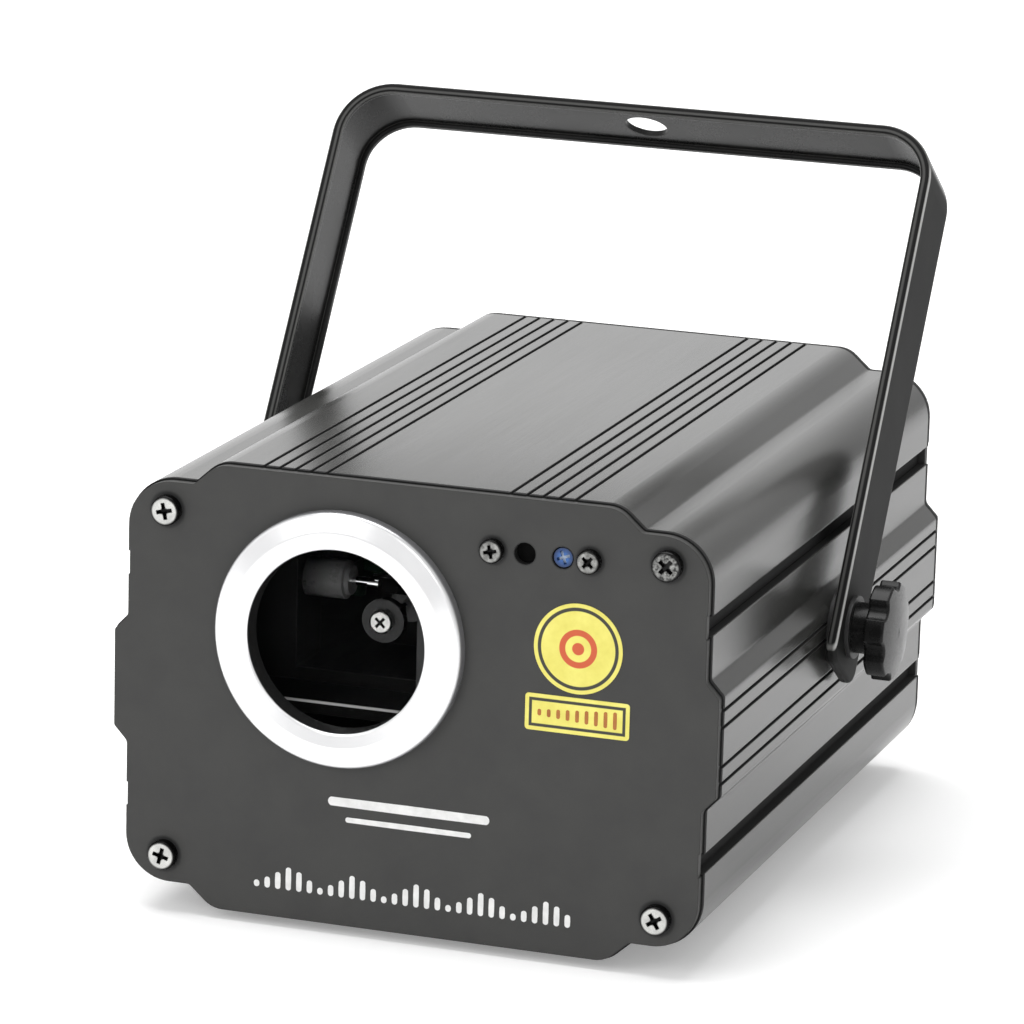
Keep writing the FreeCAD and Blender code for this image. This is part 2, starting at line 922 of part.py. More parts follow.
def knob():
    head = knob_head()
    rim = [e for e in head.Edges if e.BoundBox.ZLength < knob_dome]
    rim = [e for e in rim if e.BoundBox.XLength + e.BoundBox.YLength > edge_reach]
    head = head.makeFillet(knob_edge_round, rim)
    head = turned(head, Vector(knob_seat() + hub_length, 0, pivot_z), right)
    hub = rod(hub_radius, Vector(knob_seat(), 0, pivot_z), right, hub_length + knob_thickness / 2)
    mouth = Vector(knob_seat() - overrun, 0, pivot_z)
    bore = rod(stud_radius + running_gap, mouth, right, stud_embed + overrun)
    return head.fuse(hub).removeSplitter().cut(bore)


# Cooling fan
def fan_screw_places():
    half = fan_hole_pitch / 2
    z = fan_z
    return [(fan_x - half, z + half), (fan_x + half, z + half),
            (fan_x - half, z - half), (fan_x + half, z - half)]


def fan_frame():
    y = half_length - fan_depth
    z = fan_z
    half = fan_side / 2
    points = [(fan_x - half, z - half), (fan_x + half, z - half),
              (fan_x + half, z + half), (fan_x - half, z + half)]
    solid = prism(points, [fan_corner_radius] * len(points), y, fan_depth)
    solid = solid.cut(rod(fan_duct_radius, Vector(fan_x, y - overrun, z), back, fan_depth + overrun * 2))
    centre = Vector(fan_x, y, z)
    added = [rod(fan_base_radius, centre, back, fan_base)]
    for i in range(fan_strut_count):
        strut = bar(0, fan_duct_radius + running_gap, y, y + fan_base,
                    -fan_strut_width / 2, fan_strut_width / 2)
        strut.rotate(Vector(0, 0, 0), back, 360 / fan_strut_count * (i + 1 / 2))
        strut.translate(Vector(fan_x, 0, z))
        added.append(strut)
    added.append(rod(fan_post_radius, centre, back, fan_post_length()))
    solid = solid.fuse(added).removeSplitter()
    cuts = [rod(fan_shaft_radius + running_gap, centre + back * fan_base, back, fan_depth)]
    for x, hole_z in fan_screw_places():
        cuts.append(rod(small_shank_radius + running_gap, Vector(x, y - overrun, hole_z), back,
                        fan_depth + overrun * 2))
    return solid.cut(cuts)


def fan_post_length():
    return fan_depth - fan_air_gap * 2 - fan_hub_wall


def fan_rotor():
    y = half_length - fan_depth + fan_base + fan_air_gap
    end = half_length - fan_air_gap
    centre = Vector(fan_x, y, fan_z)
    length = end - y
    tip = fan_duct_radius - fan_air_gap
    blades = []
    for i in range(blade_count):
        blade = bar(fan_hub_radius - fan_hub_wall / 2, fan_duct_radius, -blade_chord / 2, blade_chord / 2,
                    -blade_thickness / 2, blade_thickness / 2)
        blade.rotate(Vector(0, 0, 0), right, blade_pitch)
        blade.rotate(Vector(0, 0, 0), back, 360 / blade_count * i)
        blade.translate(centre + back * (length / 2))
        blades.append(blade.common(rod(tip, centre, back, length)))
    hub = rod(fan_hub_radius, centre, back, length)
    cup = rod(fan_hub_radius - fan_hub_wall, centre - back * overrun, back, length - fan_hub_wall + overrun)
    shaft = rod(fan_shaft_radius, centre, back, length - fan_hub_wall / 2)
    solid = hub.fuse(blades).cut(cup)
    return solid.fuse(shaft).removeSplitter()


def fan_guard():
    z = fan_z
    bar_y = rear_face + guard_wire + guard_lift
    ring_y = bar_y + guard_wire * 2 - guard_ring_lap
    pieces = []
    for i in range(guard_ring_count):
        radius = fan_duct_radius * (i + 1) / guard_ring_count
        pieces.append(Part.makeTorus(radius, guard_wire, Vector(fan_x, ring_y, z), back))
    places = fan_screw_places()
    for a, b in ((places[0], places[3]), (places[1], places[2])):
        start = Vector(a[0], bar_y, a[1])
        end = Vector(b[0], bar_y, b[1])
        pieces.append(rod(guard_wire, start, (end - start).normalize(), (end - start).Length))
    eye = guard_eye_thickness()
    for x, hole_z in places:
        pieces.append(rod(guard_eye_radius, Vector(x, rear_face, hole_z), back, eye))
    solid = pieces[0].fuse(pieces[1:]).removeSplitter()
    hole = small_shank_radius + screw_hole_gap
    through = eye + overrun * 2
    holes = [rod(hole, Vector(x, rear_face - overrun, hole_z), back, through) for x, hole_z in places]
    return solid.cut(holes)


def guard_eye_thickness():
    return (guard_wire + guard_lift) * 2


# Mains inlet
def inlet_screw_places():
    z = mid - inlet_drop
    return [(inlet_x - inlet_screw_pitch / 2, z), (inlet_x + inlet_screw_pitch / 2, z)]


def inlet_socket(y, depth):
    half = socket_width / 2
    z = mid - inlet_drop + socket_rise
    low = z - socket_height / 2
    high = z + socket_height / 2
    points = [(inlet_x - half, low), (inlet_x + half, low), (inlet_x + half, high - socket_chamfer),
              (inlet_x + half - socket_chamfer, high), (inlet_x - half + socket_chamfer, high),
              (inlet_x - half, high - socket_chamfer)]
    return prism(points, [0] * len(points), y - depth, depth + overrun)


def contact_places():
    z = mid - inlet_drop + socket_rise
    return [(inlet_x - contact_spread, z - contact_offset), (inlet_x + contact_spread, z - contact_offset),
            (inlet_x, z + contact_offset)]


def mains_inlet():
    z = mid - inlet_drop
    wide = inlet_width / 2
    neck = inlet_neck / 2
    tall = inlet_height / 2
    ear = inlet_ear_height / 2
    points = [(-wide, -ear), (-neck, -tall), (neck, -tall), (wide, -ear),
              (wide, ear), (neck, tall), (-neck, tall), (-wide, ear)]
    outline = [(inlet_x + a, z + b) for a, b in points]
    face = rear_face + inlet_flange
    flange = prism(outline, [inlet_corner_radius] * len(points), rear_face, inlet_flange)
    body = block(inlet_x, rear_face - inlet_body_depth, rear_face, z, inlet_body_width, inlet_body_height)
    solid = flange.fuse(body).removeSplitter()
    cuts = [inlet_socket(face, socket_depth)]
    cuts.append(block(inlet_x, face - drawer_depth, face + overrun, z - drawer_drop,
                      drawer_width, drawer_height))
    for x, contact_z in contact_places():
        cuts.append(block(x, rear_face - inlet_body_depth - overrun, face, contact_z,
                          contact_thick + running_gap * 2, contact_tall + running_gap * 2))
    hole = small_shank_radius + screw_hole_gap
    for x, hole_z in inlet_screw_places():
        cuts.append(rod(hole, Vector(x, rear_face - overrun, hole_z), back, inlet_flange + overrun * 2))
    return solid.cut(cuts)


def inlet_contacts():
    floor = rear_face + inlet_flange - socket_depth
    tail = rear_face - inlet_body_depth - contact_tail
    tip = floor + contact_length
    return [block(x, tail, tip, z, contact_thick, contact_tall) for x, z in contact_places()]


def fuse_drawer():
    z = mid - inlet_drop - drawer_drop
    face = rear_face + inlet_flange
    body = block(inlet_x, face - drawer_depth + fit_gap, face, z,
                 drawer_width - fit_gap * 2, drawer_height - fit_gap * 2)
    front_panel = block(inlet_x, face, face + drawer_face, z, drawer_width + drawer_face_lap * 2,
                        drawer_height + drawer_face_lap * 2)
    grip = block(inlet_x, face + drawer_face - drawer_grip_depth, face + drawer_face + overrun, z,
                 drawer_grip_width, drawer_grip_height)
    return body.fuse(front_panel).removeSplitter().cut(grip)


# Rocker switch
def switch_opening_width():
    return rocker_width + fit_gap * 2


def switch_opening_height():
    return (rocker_radius + fit_gap) * 2


def switch_body_width():
    return switch_opening_width() + switch_wall * 2


def switch_body_height():
    return switch_opening_height() + switch_wall * 2


def rocker_axis():
    return Vector(switch_x, rear_face - rocker_sunk, mid - switch_drop)


def switch_frame():
    z = mid - switch_drop
    body = block(switch_x, rear_face - switch_depth, rear_face, z, switch_body_width(), switch_body_height())
    flange = block(switch_x, rear_face, rear_face + switch_flange, z,
                   switch_body_width() + switch_flange_lap * 2, switch_body_height() + switch_flange_lap * 2)
    opening = block(switch_x, rear_face - switch_depth + switch_wall, rear_face + switch_flange + overrun, z,
                    switch_opening_width(), switch_opening_height())
    reach = switch_body_width() / 2 + overrun
    axle = rod(axle_radius + running_gap, rocker_axis() - right * reach, right, reach * 2)
    return body.fuse(flange).removeSplitter().cut([opening, axle])


def switch_rocker():
    axis = rocker_axis()
    half = rocker_width / 2
    profile = [(-rocker_radius, -rocker_under), (rocker_radius, -rocker_under), (rocker_radius, rocker_crest),
               (0, rocker_dip), (-rocker_radius, rocker_crest)]
    corners = [Vector(-half, y, z) for z, y in profile]
    slab = Part.Face(Part.makePolygon(corners + corners[:1])).extrude(right * rocker_width)
    rounded = rod(rocker_radius, Vector(-half, 0, 0), right, rocker_width)
    pin = switch_body_width() / 2
    axle = rod(axle_radius, Vector(-pin, 0, 0), right, pin * 2)
    solid = slab.common(rounded).fuse(axle).removeSplitter()
    solid.rotate(Vector(0, 0, 0), right, -rocker_tilt)
    solid.translate(axis)
    return solid


# Signal sockets
def signal_screw_places():
    z = mid + signal_rise
    places = []
    for x in (signal_in_x, signal_out_x):
        places += [(x - signal_screw_x, z + signal_screw_z), (x + signal_screw_x, z - signal_screw_z)]
    return places


def signal_shell(x, bore, depth):
    z = mid + signal_rise
    wide = signal_width / 2
    tall = signal_height / 2
    points = [(x - wide, z - tall), (x + wide, z - tall), (x + wide, z + tall), (x - wide, z + tall)]
    flange = prism(points, [signal_corner_radius] * len(points), rear_face, signal_flange)
    face = rear_face + signal_flange
    body = rod(signal_body_radius, Vector(x, face - signal_body_depth, z), back, signal_body_depth)
    solid = flange.fuse(body).removeSplitter()
    cuts = [rod(bore, Vector(x, face - depth, z), back, depth + overrun)]
    hole = small_shank_radius + screw_hole_gap
    for hole_x, hole_z in signal_screw_places():
        cuts.append(rod(hole, Vector(hole_x, rear_face - overrun, hole_z), back, signal_flange + overrun * 2))
    return solid.cut(cuts)


def pin_places(x):
    z = mid + signal_rise
    places = []
    for i in range(pin_count):
        angle = 2 * math.pi * i / pin_count - math.pi / 2
        places.append((x + pin_circle * math.cos(angle), z + pin_circle * math.sin(angle)))
    return places


def signal_in_socket():
    return signal_shell(signal_in_x, signal_in_bore, signal_in_depth)


def signal_in_pins():
    floor = rear_face + signal_flange - signal_in_depth
    points = [(0, 0), (pin_radius, 0), (pin_radius, pin_length), (0, pin_length)]
    radii = [0, 0, pin_radius / 2, 0]
    return [lathe(points, radii, Vector(x, floor, z), back) for x, z in pin_places(signal_in_x)]


def signal_out_socket():
    solid = signal_shell(signal_out_x, signal_out_bore, signal_out_depth)
    face = rear_face + signal_flange
    pocket = block(signal_out_x, face - latch_pocket_depth, face + overrun, mid + signal_rise + latch_rise,
                   latch_width + fit_gap * 2, latch_height + fit_gap * 2)
    return solid.cut(pocket)


def signal_out_insert():
    floor = rear_face + signal_flange - signal_out_depth
    z = mid + signal_rise
    solid = rod(core_radius, Vector(signal_out_x, floor, z), back, core_length)
    holes = [rod(core_hole_radius, Vector(x, floor + core_length - core_hole_depth, hole_z), back,
                 core_hole_depth + overrun) for x, hole_z in pin_places(signal_out_x)]
    return solid.cut(holes)


def signal_out_latch():
    face = rear_face + signal_flange
    return block(signal_out_x, face - latch_sunk, face + latch_proud, mid + signal_rise + latch_rise,
                 latch_width, latch_height)


# One kind of small screw holds the fan guard, the inlet and the signal sockets
def rear_screws():
    screws = []
    groups = ((fan_screw_places(), guard_eye_thickness()), (inlet_screw_places(), inlet_flange),
              (signal_screw_places(), signal_flange))
    for places, seat in groups:
        for i, (x, z) in enumerate(places):
            screws.append(small_screw(Vector(x, rear_face + seat, z), back, corner_turns[i]))
    return screws


# Display, buttons and control board
def button_places():
    first = control_x - button_pitch * (button_count - 1) / 2
    return [first + button_pitch * i for i in range(button_count)]


def control_face():
    return half_length - control_gap


def display_module():
    return block(control_x, control_face(), rear_face - display_sunk, mid - display_drop,
                 display_width, display_height)


def control_board_span():
    low = mid - button_drop - control_bottom_margin
    high = mid - display_drop + display_height / 2 + control_top_margin
    return low, high


def control_board():
    low, high = control_board_span()
    y = control_face()
    half = control_width / 2
    pieces = [bar(control_x - half, control_x + half, y - board_thickness, y, low, high)]
    for x in button_places():
        pieces.append(block(x, y, y + tact_height, mid - button_drop, tact_side, tact_side))
    for x in (control_x - half + post_inset, control_x + half - post_inset):
        for z in (high - post_inset, (low + high) / 2 - post_inset):
            pieces.append(rod(post_radius, Vector(x, y, z), back, control_gap))
    return pieces


def menu_button(x):
    z = mid - button_drop
    tact_top = control_face() + tact_height
    stem_end = tact_top + button_travel + button_end_gap
    collar = button_radius + button_collar
    collar_foot = half_length - button_collar_thickness
    top = rear_face + button_proud
    points = [(0, stem_end), (button_stem_radius, stem_end), (button_stem_radius, collar_foot),
              (collar, collar_foot), (collar, half_length), (button_radius, half_length),
              (button_radius, top), (0, top)]
    radii = [0, 0, 0, 0, 0, 0, button_round, 0]
    return lathe(points, radii, Vector(x, 0, z), back)


# Optical deck
def optical_deck():
    return bar(-deck_half_width, deck_half_width, deck_front, deck_rear, deck_top - deck_thickness, deck_top)


def deck_pillars():
    pillars = []
    height = deck_top - deck_thickness - floor_in
    for x in (-pillar_x, pillar_x):
        for y in (deck_front + pillar_inset, deck_rear - pillar_inset):
            pillars.append(rod(pillar_radius, Vector(x, y, floor_in), up, height))
    return pillars


# Scanner pair
def motor(origin, direction):
    # Barrel that starts at the origin and runs away from the mirror along the direction.
    barrel = rod(motor_radius, origin, direction, motor_length)
    nose = rod(motor_nose_radius, origin - direction * motor_nose, direction, motor_nose)
    seat = rod(scan_shaft_radius + running_gap, origin - direction * (motor_nose + overrun), direction,
               motor_nose + overrun + motor_seat_depth)
    return barrel.fuse(nose).removeSplitter().cut(seat)


def motor_x_origin():
    return Vector(scan_x, scan_y + motor_start, scan_low)


def motor_y_origin():
    return Vector(scan_x - motor_start, scan_y, scan_high)


def scanner_motors():
    return [motor(motor_x_origin(), back), motor(motor_y_origin(), -right)]


def scanner_mount():
    x0 = motor_y_origin().x - motor_length
    x_hold = x0 + motor_length * mount_hold_share
    y0 = motor_x_origin().y + motor_length * (1 - mount_hold_share)
    y1 = motor_x_origin().y + motor_length
    grip = motor_radius + mount_wall
    cheek = scan_x + grip + mount_cheek_gap
    base = bar(x0, cheek + mount_cheek, scan_y - grip, y1, deck_top, deck_top + mount_base)
    tower_y = bar(x0, x_hold, scan_y - grip, scan_y + grip, deck_top, scan_high + grip)
    tower_x = bar(scan_x - grip, scan_x + grip, y0, y1, deck_top, scan_low + grip)
    side = bar(cheek, cheek + mount_cheek, scan_y - grip, y1, deck_top, scan_high)
    solid = base.fuse([tower_y, tower_x, side]).removeSplitter()
    hold = motor_radius + running_gap
    cuts = [rod(hold, Vector(x0 - overrun, scan_y, scan_high), right, motor_length),
            rod(hold, Vector(scan_x, y1 + overrun, scan_low), front, motor_length),
            rod(beam_port_radius, Vector(cheek - overrun, scan_y, scan_low), right,
                mount_cheek + overrun * 2)]
    return solid.cut(cuts)


def scan_mirror(width):
    # Along +Z from the shaft end in the motor, plate in the XZ plane about the axis.
    foot = -motor_start - motor_seat_depth + running_gap
    plate_foot = -mirror_length / 2
    shaft = Part.makeCylinder(scan_shaft_radius, plate_foot + mirror_lap - foot, Vector(0, 0, foot))
    clamp = Part.makeCylinder(mirror_clamp_radius, mirror_clamp_length,
                              Vector(0, 0, plate_foot + mirror_lap - mirror_clamp_length))
    plate = bar(-width / 2, width / 2, -mirror_thickness / 2, mirror_thickness / 2,
                plate_foot, mirror_length / 2)
    return plate.fuse([shaft, clamp]).removeSplitter()


def hub_face():
    # Front face of the hub that caps the lower mirror, measured from the mirror's middle.
    return mirror_length / 2 + scan_hub_thickness


def scan_x_mirror():
    hub = Part.makeCylinder(scan_hub_radius, scan_hub_thickness, Vector(0, 0, mirror_length / 2))
    bore = Part.makeCylinder(small_shank_radius + running_gap, scan_hub_thickness + overrun,
                             Vector(0, 0, mirror_length / 2))
    solid = scan_mirror(mirror_x_width).fuse(hub).removeSplitter().cut(bore)
    return turned(solid, Vector(scan_x, scan_y, scan_low), front, mirror_turn)


def scan_x_screw():
    at = Vector(scan_x, scan_y - hub_face(), scan_low)
    return small_screw(at, front, corner_turns[1], scan_hub_thickness)


def scan_y_mirror():
    solid = scan_mirror(mirror_y_width)
    return turned(solid, Vector(scan_x, scan_y, scan_high), right, mirror_turn)


# Lasers and combining mirrors
def laser_places():
    return [laser_first_x + laser_pitch * i for i in range(laser_count)]


def laser_nose_y():
    return scan_y + laser_nose_gap


def laser_modules():
    solids = []
    for x in laser_places():
        at = Vector(x, laser_nose_y(), scan_low)
        body = rod(laser_radius, at + back * laser_nose, back, laser_length - laser_nose)
        nose = rod(laser_nose_radius, at, back, laser_nose)
        lens = rod(laser_lens_radius, at - back * overrun, back, laser_lens_depth + overrun)
        solids.append(body.fuse(nose).removeSplitter().cut(lens))
    return solids


def laser_mount():
    y0 = laser_nose_y() + block_inset
    places = laser_places()
    edge = laser_radius + block_side_wall
    solid = bar(places[0] - edge, places[-1] + edge, y0, y0 + block_depth, deck_top,
                scan_low + laser_radius + block_top_wall)
    through = block_depth + overrun * 2
    hold = laser_radius + running_gap
    bores = [rod(hold, Vector(x, y0 - overrun, scan_low), back, through) for x in places]
    return solid.cut(bores)


def combiner_foot():
    return deck_top + comb_holder_height - comb_slot_depth


def combining_mirrors():
    plates = []
    for x in laser_places():
        plate = bar(-comb_width / 2, comb_width / 2, -comb_thickness / 2, comb_thickness / 2, 0, comb_height)
        plates.append(turned(plate, Vector(x, scan_y, combiner_foot()), up, mirror_turn))
    return plates


def combiner_mounts():
    mounts = []
    half = comb_holder_side / 2
    for x in laser_places():
        solid = bar(-half, half, -half, half, 0, comb_holder_height)
        slit = comb_thickness / 2 + running_gap
        slot = bar(-half - overrun, half + overrun, -slit, slit,
                   comb_holder_height - comb_slot_depth, comb_holder_height + overrun)
        mounts.append(turned(solid.cut(slot), Vector(x, scan_y, deck_top), up, mirror_turn))
    return mounts


# Driver boards behind the lasers and scanners
def driver_board(x):
    low = deck_top + driver_gap
    top = low + board_thickness
    half_x = driver_board_width / 2
    half_y = driver_board_length / 2
    pieces = [bar(x - half_x, x + half_x, driver_board_y - half_y, driver_board_y + half_y, low, top)]
    for sx in (-1, 1):
        for sy in (-1, 1):
            post_x = x + sx * (half_x - driver_post_inset)
            post_y = driver_board_y + sy * (half_y - driver_board_length * driver_post_share)
            pieces.append(rod(post_radius, Vector(post_x, post_y, deck_top), up, driver_gap))
    for i in (-1, 0, 1):
        cx = x + chip_pitch * i
        pieces.append(bar(cx - chip_width / 2, cx + chip_width / 2, driver_board_y - chip_length,
                          driver_board_y, top, top + chip_height))
    pieces.append(bar(x - sink_length / 2, x + sink_length / 2, driver_board_y + sink_place - sink_width / 2,
                      driver_board_y + sink_place + sink_width / 2, top, top + sink_height))
    return pieces


# Power supply
def power_supply():
    low = floor_in + supply_gap
    top = low + board_thickness
    half_x = supply_width / 2
    half_y = supply_length / 2
    pieces = [bar(-half_x, half_x, supply_y - half_y, supply_y + half_y, low, top)]
    for sx in (-1, 1):
        for sy in (-1, 1):
            post_x = sx * (half_x - supply_post_inset)
            post_y = supply_y + sy * (half_y - supply_post_inset)
            pieces.append(rod(supply_post_radius, Vector(post_x, post_y, floor_in), up, supply_gap))
    pieces.append(bar(transformer_x - transformer_width / 2, transformer_x + transformer_width / 2,
                      supply_y + transformer_y - transformer_length / 2,
                      supply_y + transformer_y + transformer_length / 2, top, top + transformer_height))
    capacitor_at = Vector(capacitor_x, supply_y + capacitor_y, top)
    pieces.append(rod(capacitor_radius, capacitor_at, up, capacitor_height))
    pieces.append(bar(-supply_sink_x - supply_sink_width / 2, -supply_sink_x + supply_sink_width / 2,
                      supply_y - supply_sink_length / 2, supply_y + supply_sink_length / 2, top,
                      top + supply_sink_height))
    return pieces


# Write every piece as its own file
nodes = {
    "top_cover": top_cover(),
    "bottom_cover": bottom_cover(),
    "case_feet": case_feet(),
    "left_side_panel": left_side_panel(),
    "right_side_panel": right_side_panel(),
    "front_plate": front_plate(),
    "rear_plate": rear_plate(),
    "plate_screws": plate_screws(),
    "aperture_bezel": aperture_bezel(),
    "window_glass": window_glass(),
    "window_clamp": window_clamp(),
    "mic_board": mic_board(),
    "mic_capsule": mic_capsule(),
    "sensitivity_trimmer": sensitivity_trimmer(),
    "sensitivity_rotor": sensitivity_rotor(),
    "mic_board_spacers": mic_board_spacers(),
    "mic_board_screws": mic_board_screws(),
    "bracket": bracket(),
    "friction_washers": friction_washers(),
    "pivot_inserts": pivot_inserts(),
    "fan_frame": fan_frame(),
    "fan_rotor": fan_rotor(),
    "fan_guard": fan_guard(),
    "mains_inlet": mains_inlet(),
    "inlet_contacts": inlet_contacts(),
    "fuse_drawer": fuse_drawer(),
    "switch_frame": switch_frame(),
    "switch_rocker": switch_rocker(),
    "signal_in_socket": signal_in_socket(),
    "signal_in_pins": signal_in_pins(),
    "signal_out_socket": signal_out_socket(),
    "signal_out_insert": signal_out_insert(),
    "signal_out_latch": signal_out_latch(),
    "rear_screws": rear_screws(),
    "display_module": display_module(),
    "control_board": control_board(),
    "optical_deck": optical_deck(),
    "deck_pillars": deck_pillars(),
    "scanner_motors": scanner_motors(),
    "scanner_mount": scanner_mount(),
    "scan_x_mirror": scan_x_mirror(),
    "scan_x_screw": scan_x_screw(),
    "scan_y_mirror": scan_y_mirror(),
    "laser_modules": laser_modules(),
    "laser_mount": laser_mount(),
    "combining_mirrors": combining_mirrors(),
    "combiner_mounts": combiner_mounts(),
    "scanner_driver": driver_board(-driver_board_x),
    "laser_driver": driver_board(driver_board_x),
    "power_supply": power_supply(),
}
for name, maker in (("knob_washer", knob_washer), ("knob_stud", knob_stud), ("knob", knob)):
    pair = both_sides(maker())
    nodes[name + "_right"] = pair[0]
    nodes[name + "_left"] = pair[1]
for i, x in enumerate(button_places()):
    nodes["menu_button_" + str(i + 1)] = menu_button(x)

os.makedirs("parts", exist_ok=True)
for name, shape in nodes.items():
    if isinstance(shape, list):
        shape = Part.makeCompound(shape)
    shape.exportStep("parts/" + name + ".step")
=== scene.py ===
import json
import math

import bmesh
import bpy
from mathutils import Matrix, Quaternion, Vector
from mathutils.bvhtree import BVHTree


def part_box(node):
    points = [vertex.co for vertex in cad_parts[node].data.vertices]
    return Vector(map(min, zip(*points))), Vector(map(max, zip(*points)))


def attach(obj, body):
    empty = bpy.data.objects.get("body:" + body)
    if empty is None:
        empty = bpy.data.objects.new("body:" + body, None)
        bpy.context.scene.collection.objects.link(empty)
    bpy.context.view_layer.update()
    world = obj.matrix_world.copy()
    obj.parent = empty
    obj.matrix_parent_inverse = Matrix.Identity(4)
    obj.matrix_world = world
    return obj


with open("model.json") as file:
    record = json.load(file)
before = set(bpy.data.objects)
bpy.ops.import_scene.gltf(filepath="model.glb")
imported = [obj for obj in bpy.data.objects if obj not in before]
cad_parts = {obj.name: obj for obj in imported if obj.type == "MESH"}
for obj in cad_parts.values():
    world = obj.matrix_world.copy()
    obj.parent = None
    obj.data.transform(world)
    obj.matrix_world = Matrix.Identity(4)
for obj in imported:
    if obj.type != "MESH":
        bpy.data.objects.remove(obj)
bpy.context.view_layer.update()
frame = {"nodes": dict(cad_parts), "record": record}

scene = bpy.context.scene
scene.view_settings.view_transform = "Standard"

# places read from the solids
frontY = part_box("front_plate")[0].y
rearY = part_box("rear_plate")[1].y
midZ = (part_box("top_cover")[1].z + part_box("bottom_cover")[0].z) / 2


def middleOf(node):
    # middle of a solid in x and z
    low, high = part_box(node)
    return (low.x + high.x) / 2, (low.z + high.z) / 2


# camera at the height and side of the photograph
shot = {"place": (0.414564, -1.228445, 0.402642), "aim": (-0.316092, 0.917381, -0.241865), "roll": 1.511,
        "lens": 198.7, "sensor": 36.0, "clip": (0.01, 50.0)}
lens = bpy.data.cameras.new("shotLens")
lens.lens = shot["lens"]
lens.sensor_width = shot["sensor"]
lens.clip_start, lens.clip_end = shot["clip"]
camera = bpy.data.objects.new("shotCamera", lens)
scene.collection.objects.link(camera)
camera.location = shot["place"]
camera.rotation_mode = "QUATERNION"
aimTurn = Vector(shot["aim"]).to_track_quat("-Z", "Y")
camera.rotation_quaternion = aimTurn @ Quaternion((0, 0, 1), math.radians(shot["roll"]))
scene.camera = camera
print("camera set")


# small helpers for node trees
def newFinish(name):
    mat = bpy.data.materials.new(name)
    mat.use_nodes = True
    return mat, mat.node_tree, mat.node_tree.nodes["Principled BSDF"]


def addNode(tree, kind, sockets=None, **settings):
    node = tree.nodes.new(kind)
    for key, value in settings.items():
        setattr(node, key, value)
    for key, value in (sockets or {}).items():
        if isinstance(value, bpy.types.NodeSocket):
            tree.links.new(value, node.inputs[key])
        else:
            node.inputs[key].default_value = value
    return node


def maths(tree, operation, *values):
    return addNode(tree, "ShaderNodeMath", dict(enumerate(values)), operation=operation).outputs["Value"]


def times(tree, first, *others):
    for other in others:
        first = maths(tree, "MULTIPLY", first, other)
    return first


def larger(tree, first, *others):
    for other in others:
        first = maths(tree, "MAXIMUM", first, other)
    return first


def mixValue(tree, share, first, second):
    # first where the share is 0, second where it is 1
    return maths(tree, "MULTIPLY_ADD", share, maths(tree, "SUBTRACT", second, first), first)


def mixColour(tree, share, first, second):
    # the same for colours, which are the third pair of the mix node's sockets
    sockets = {0: share}
    for index, colour in ((6, first), (7, second)):
        sockets[index] = colour if isinstance(colour, bpy.types.NodeSocket) else (*colour, 1)
    return addNode(tree, "ShaderNodeMix", sockets, data_type="RGBA").outputs[2]


def vectorMaths(tree, operation, *vectors):
    return addNode(tree, "ShaderNodeVectorMath", dict(enumerate(vectors)), operation=operation).outputs


def mapRange(tree, value, fromLow, fromHigh, toLow, toHigh):
    sockets = {"Value": value, "From Min": fromLow, "From Max": fromHigh, "To Min": toLow, "To Max": toHigh}
    return addNode(tree, "ShaderNodeMapRange", sockets).outputs["Result"]


def ramp(tree, value, start, end):
    # 0 at the start, 1 at the end
    return mapRange(tree, value, start, end, 0.0, 1.0)


# half the width of a sharp blend between two tones
sharp = 0.00006


def above(tree, value, limit, soft=sharp):
    # 1 above the limit, 0 below it
    return ramp(tree, value, limit - soft, limit + soft)


def below(tree, value, limit, soft=sharp):
    # 1 below the limit, 0 above it
    return ramp(tree, value, limit + soft, limit - soft)


def between(tree, value, low, high, soft=sharp):
    return times(tree, above(tree, value, low, soft), below(tree, value, high, soft))


def objectCoords(tree, scale=(1, 1, 1), centre=(0, 0, 0)):
    coords = addNode(tree, "ShaderNodeTexCoord").outputs["Object"]
    sockets = {"Vector": coords, "Location": [-c for c in centre], "Scale": scale}
    return addNode(tree, "ShaderNodeMapping", sockets).outputs["Vector"]


def axes(tree, vector):
    return addNode(tree, "ShaderNodeSeparateXYZ", {"Vector": vector}).outputs


def axesFrom(tree, centre=(0, 0, 0)):
    # x, y and z as measured from a centre
    return axes(tree, objectCoords(tree, centre=centre))


def foldedFrom(tree, centre):
    # the same without their signs
    return axes(tree, vectorMaths(tree, "ABSOLUTE", objectCoords(tree, centre=centre))["Vector"])


def distanceFrom(tree, middle, reach=(0, 0)):
    # distance in x and z from the nearest of the points that stand alike on both sides of the middle
    centred = objectCoords(tree, (1, 0, 1), (middle[0], 0, middle[1]))
    folded = vectorMaths(tree, "ABSOLUTE", centred)["Vector"]
    offset = vectorMaths(tree, "SUBTRACT", folded, (reach[0], 0, reach[1]))["Vector"]
    return vectorMaths(tree, "LENGTH", offset)["Value"]


def noise(tree, vector, scale, detail=4.0, rough=0.55):
    sockets = {"Vector": vector, "Scale": scale, "Detail": detail, "Roughness": rough}
    return addNode(tree, "ShaderNodeTexNoise", sockets).outputs["Fac"]


# one recipe that every painted, anodised, moulded and metal finish starts from
recipe = {"stretch": (1, 1, 1), "fineStretch": (1, 1, 1), "broadDetail": 5.0, "fineDetail": 3.0, "fineRough": 0.6,
          "toneFrom": (0.32, 0.68), "fineShare": 0.4, "broadShare": 0.6, "roughFrom": (0.3, 0.7), "edge": 0.0,
          "edgeFrom": (0.98, 0.78), "edgeSamples": 4, "edgeShareFrom": (0.35, 0.65), "edgeShareLow": 0.2, "edgeShare": 0.6,
          "set": {}}


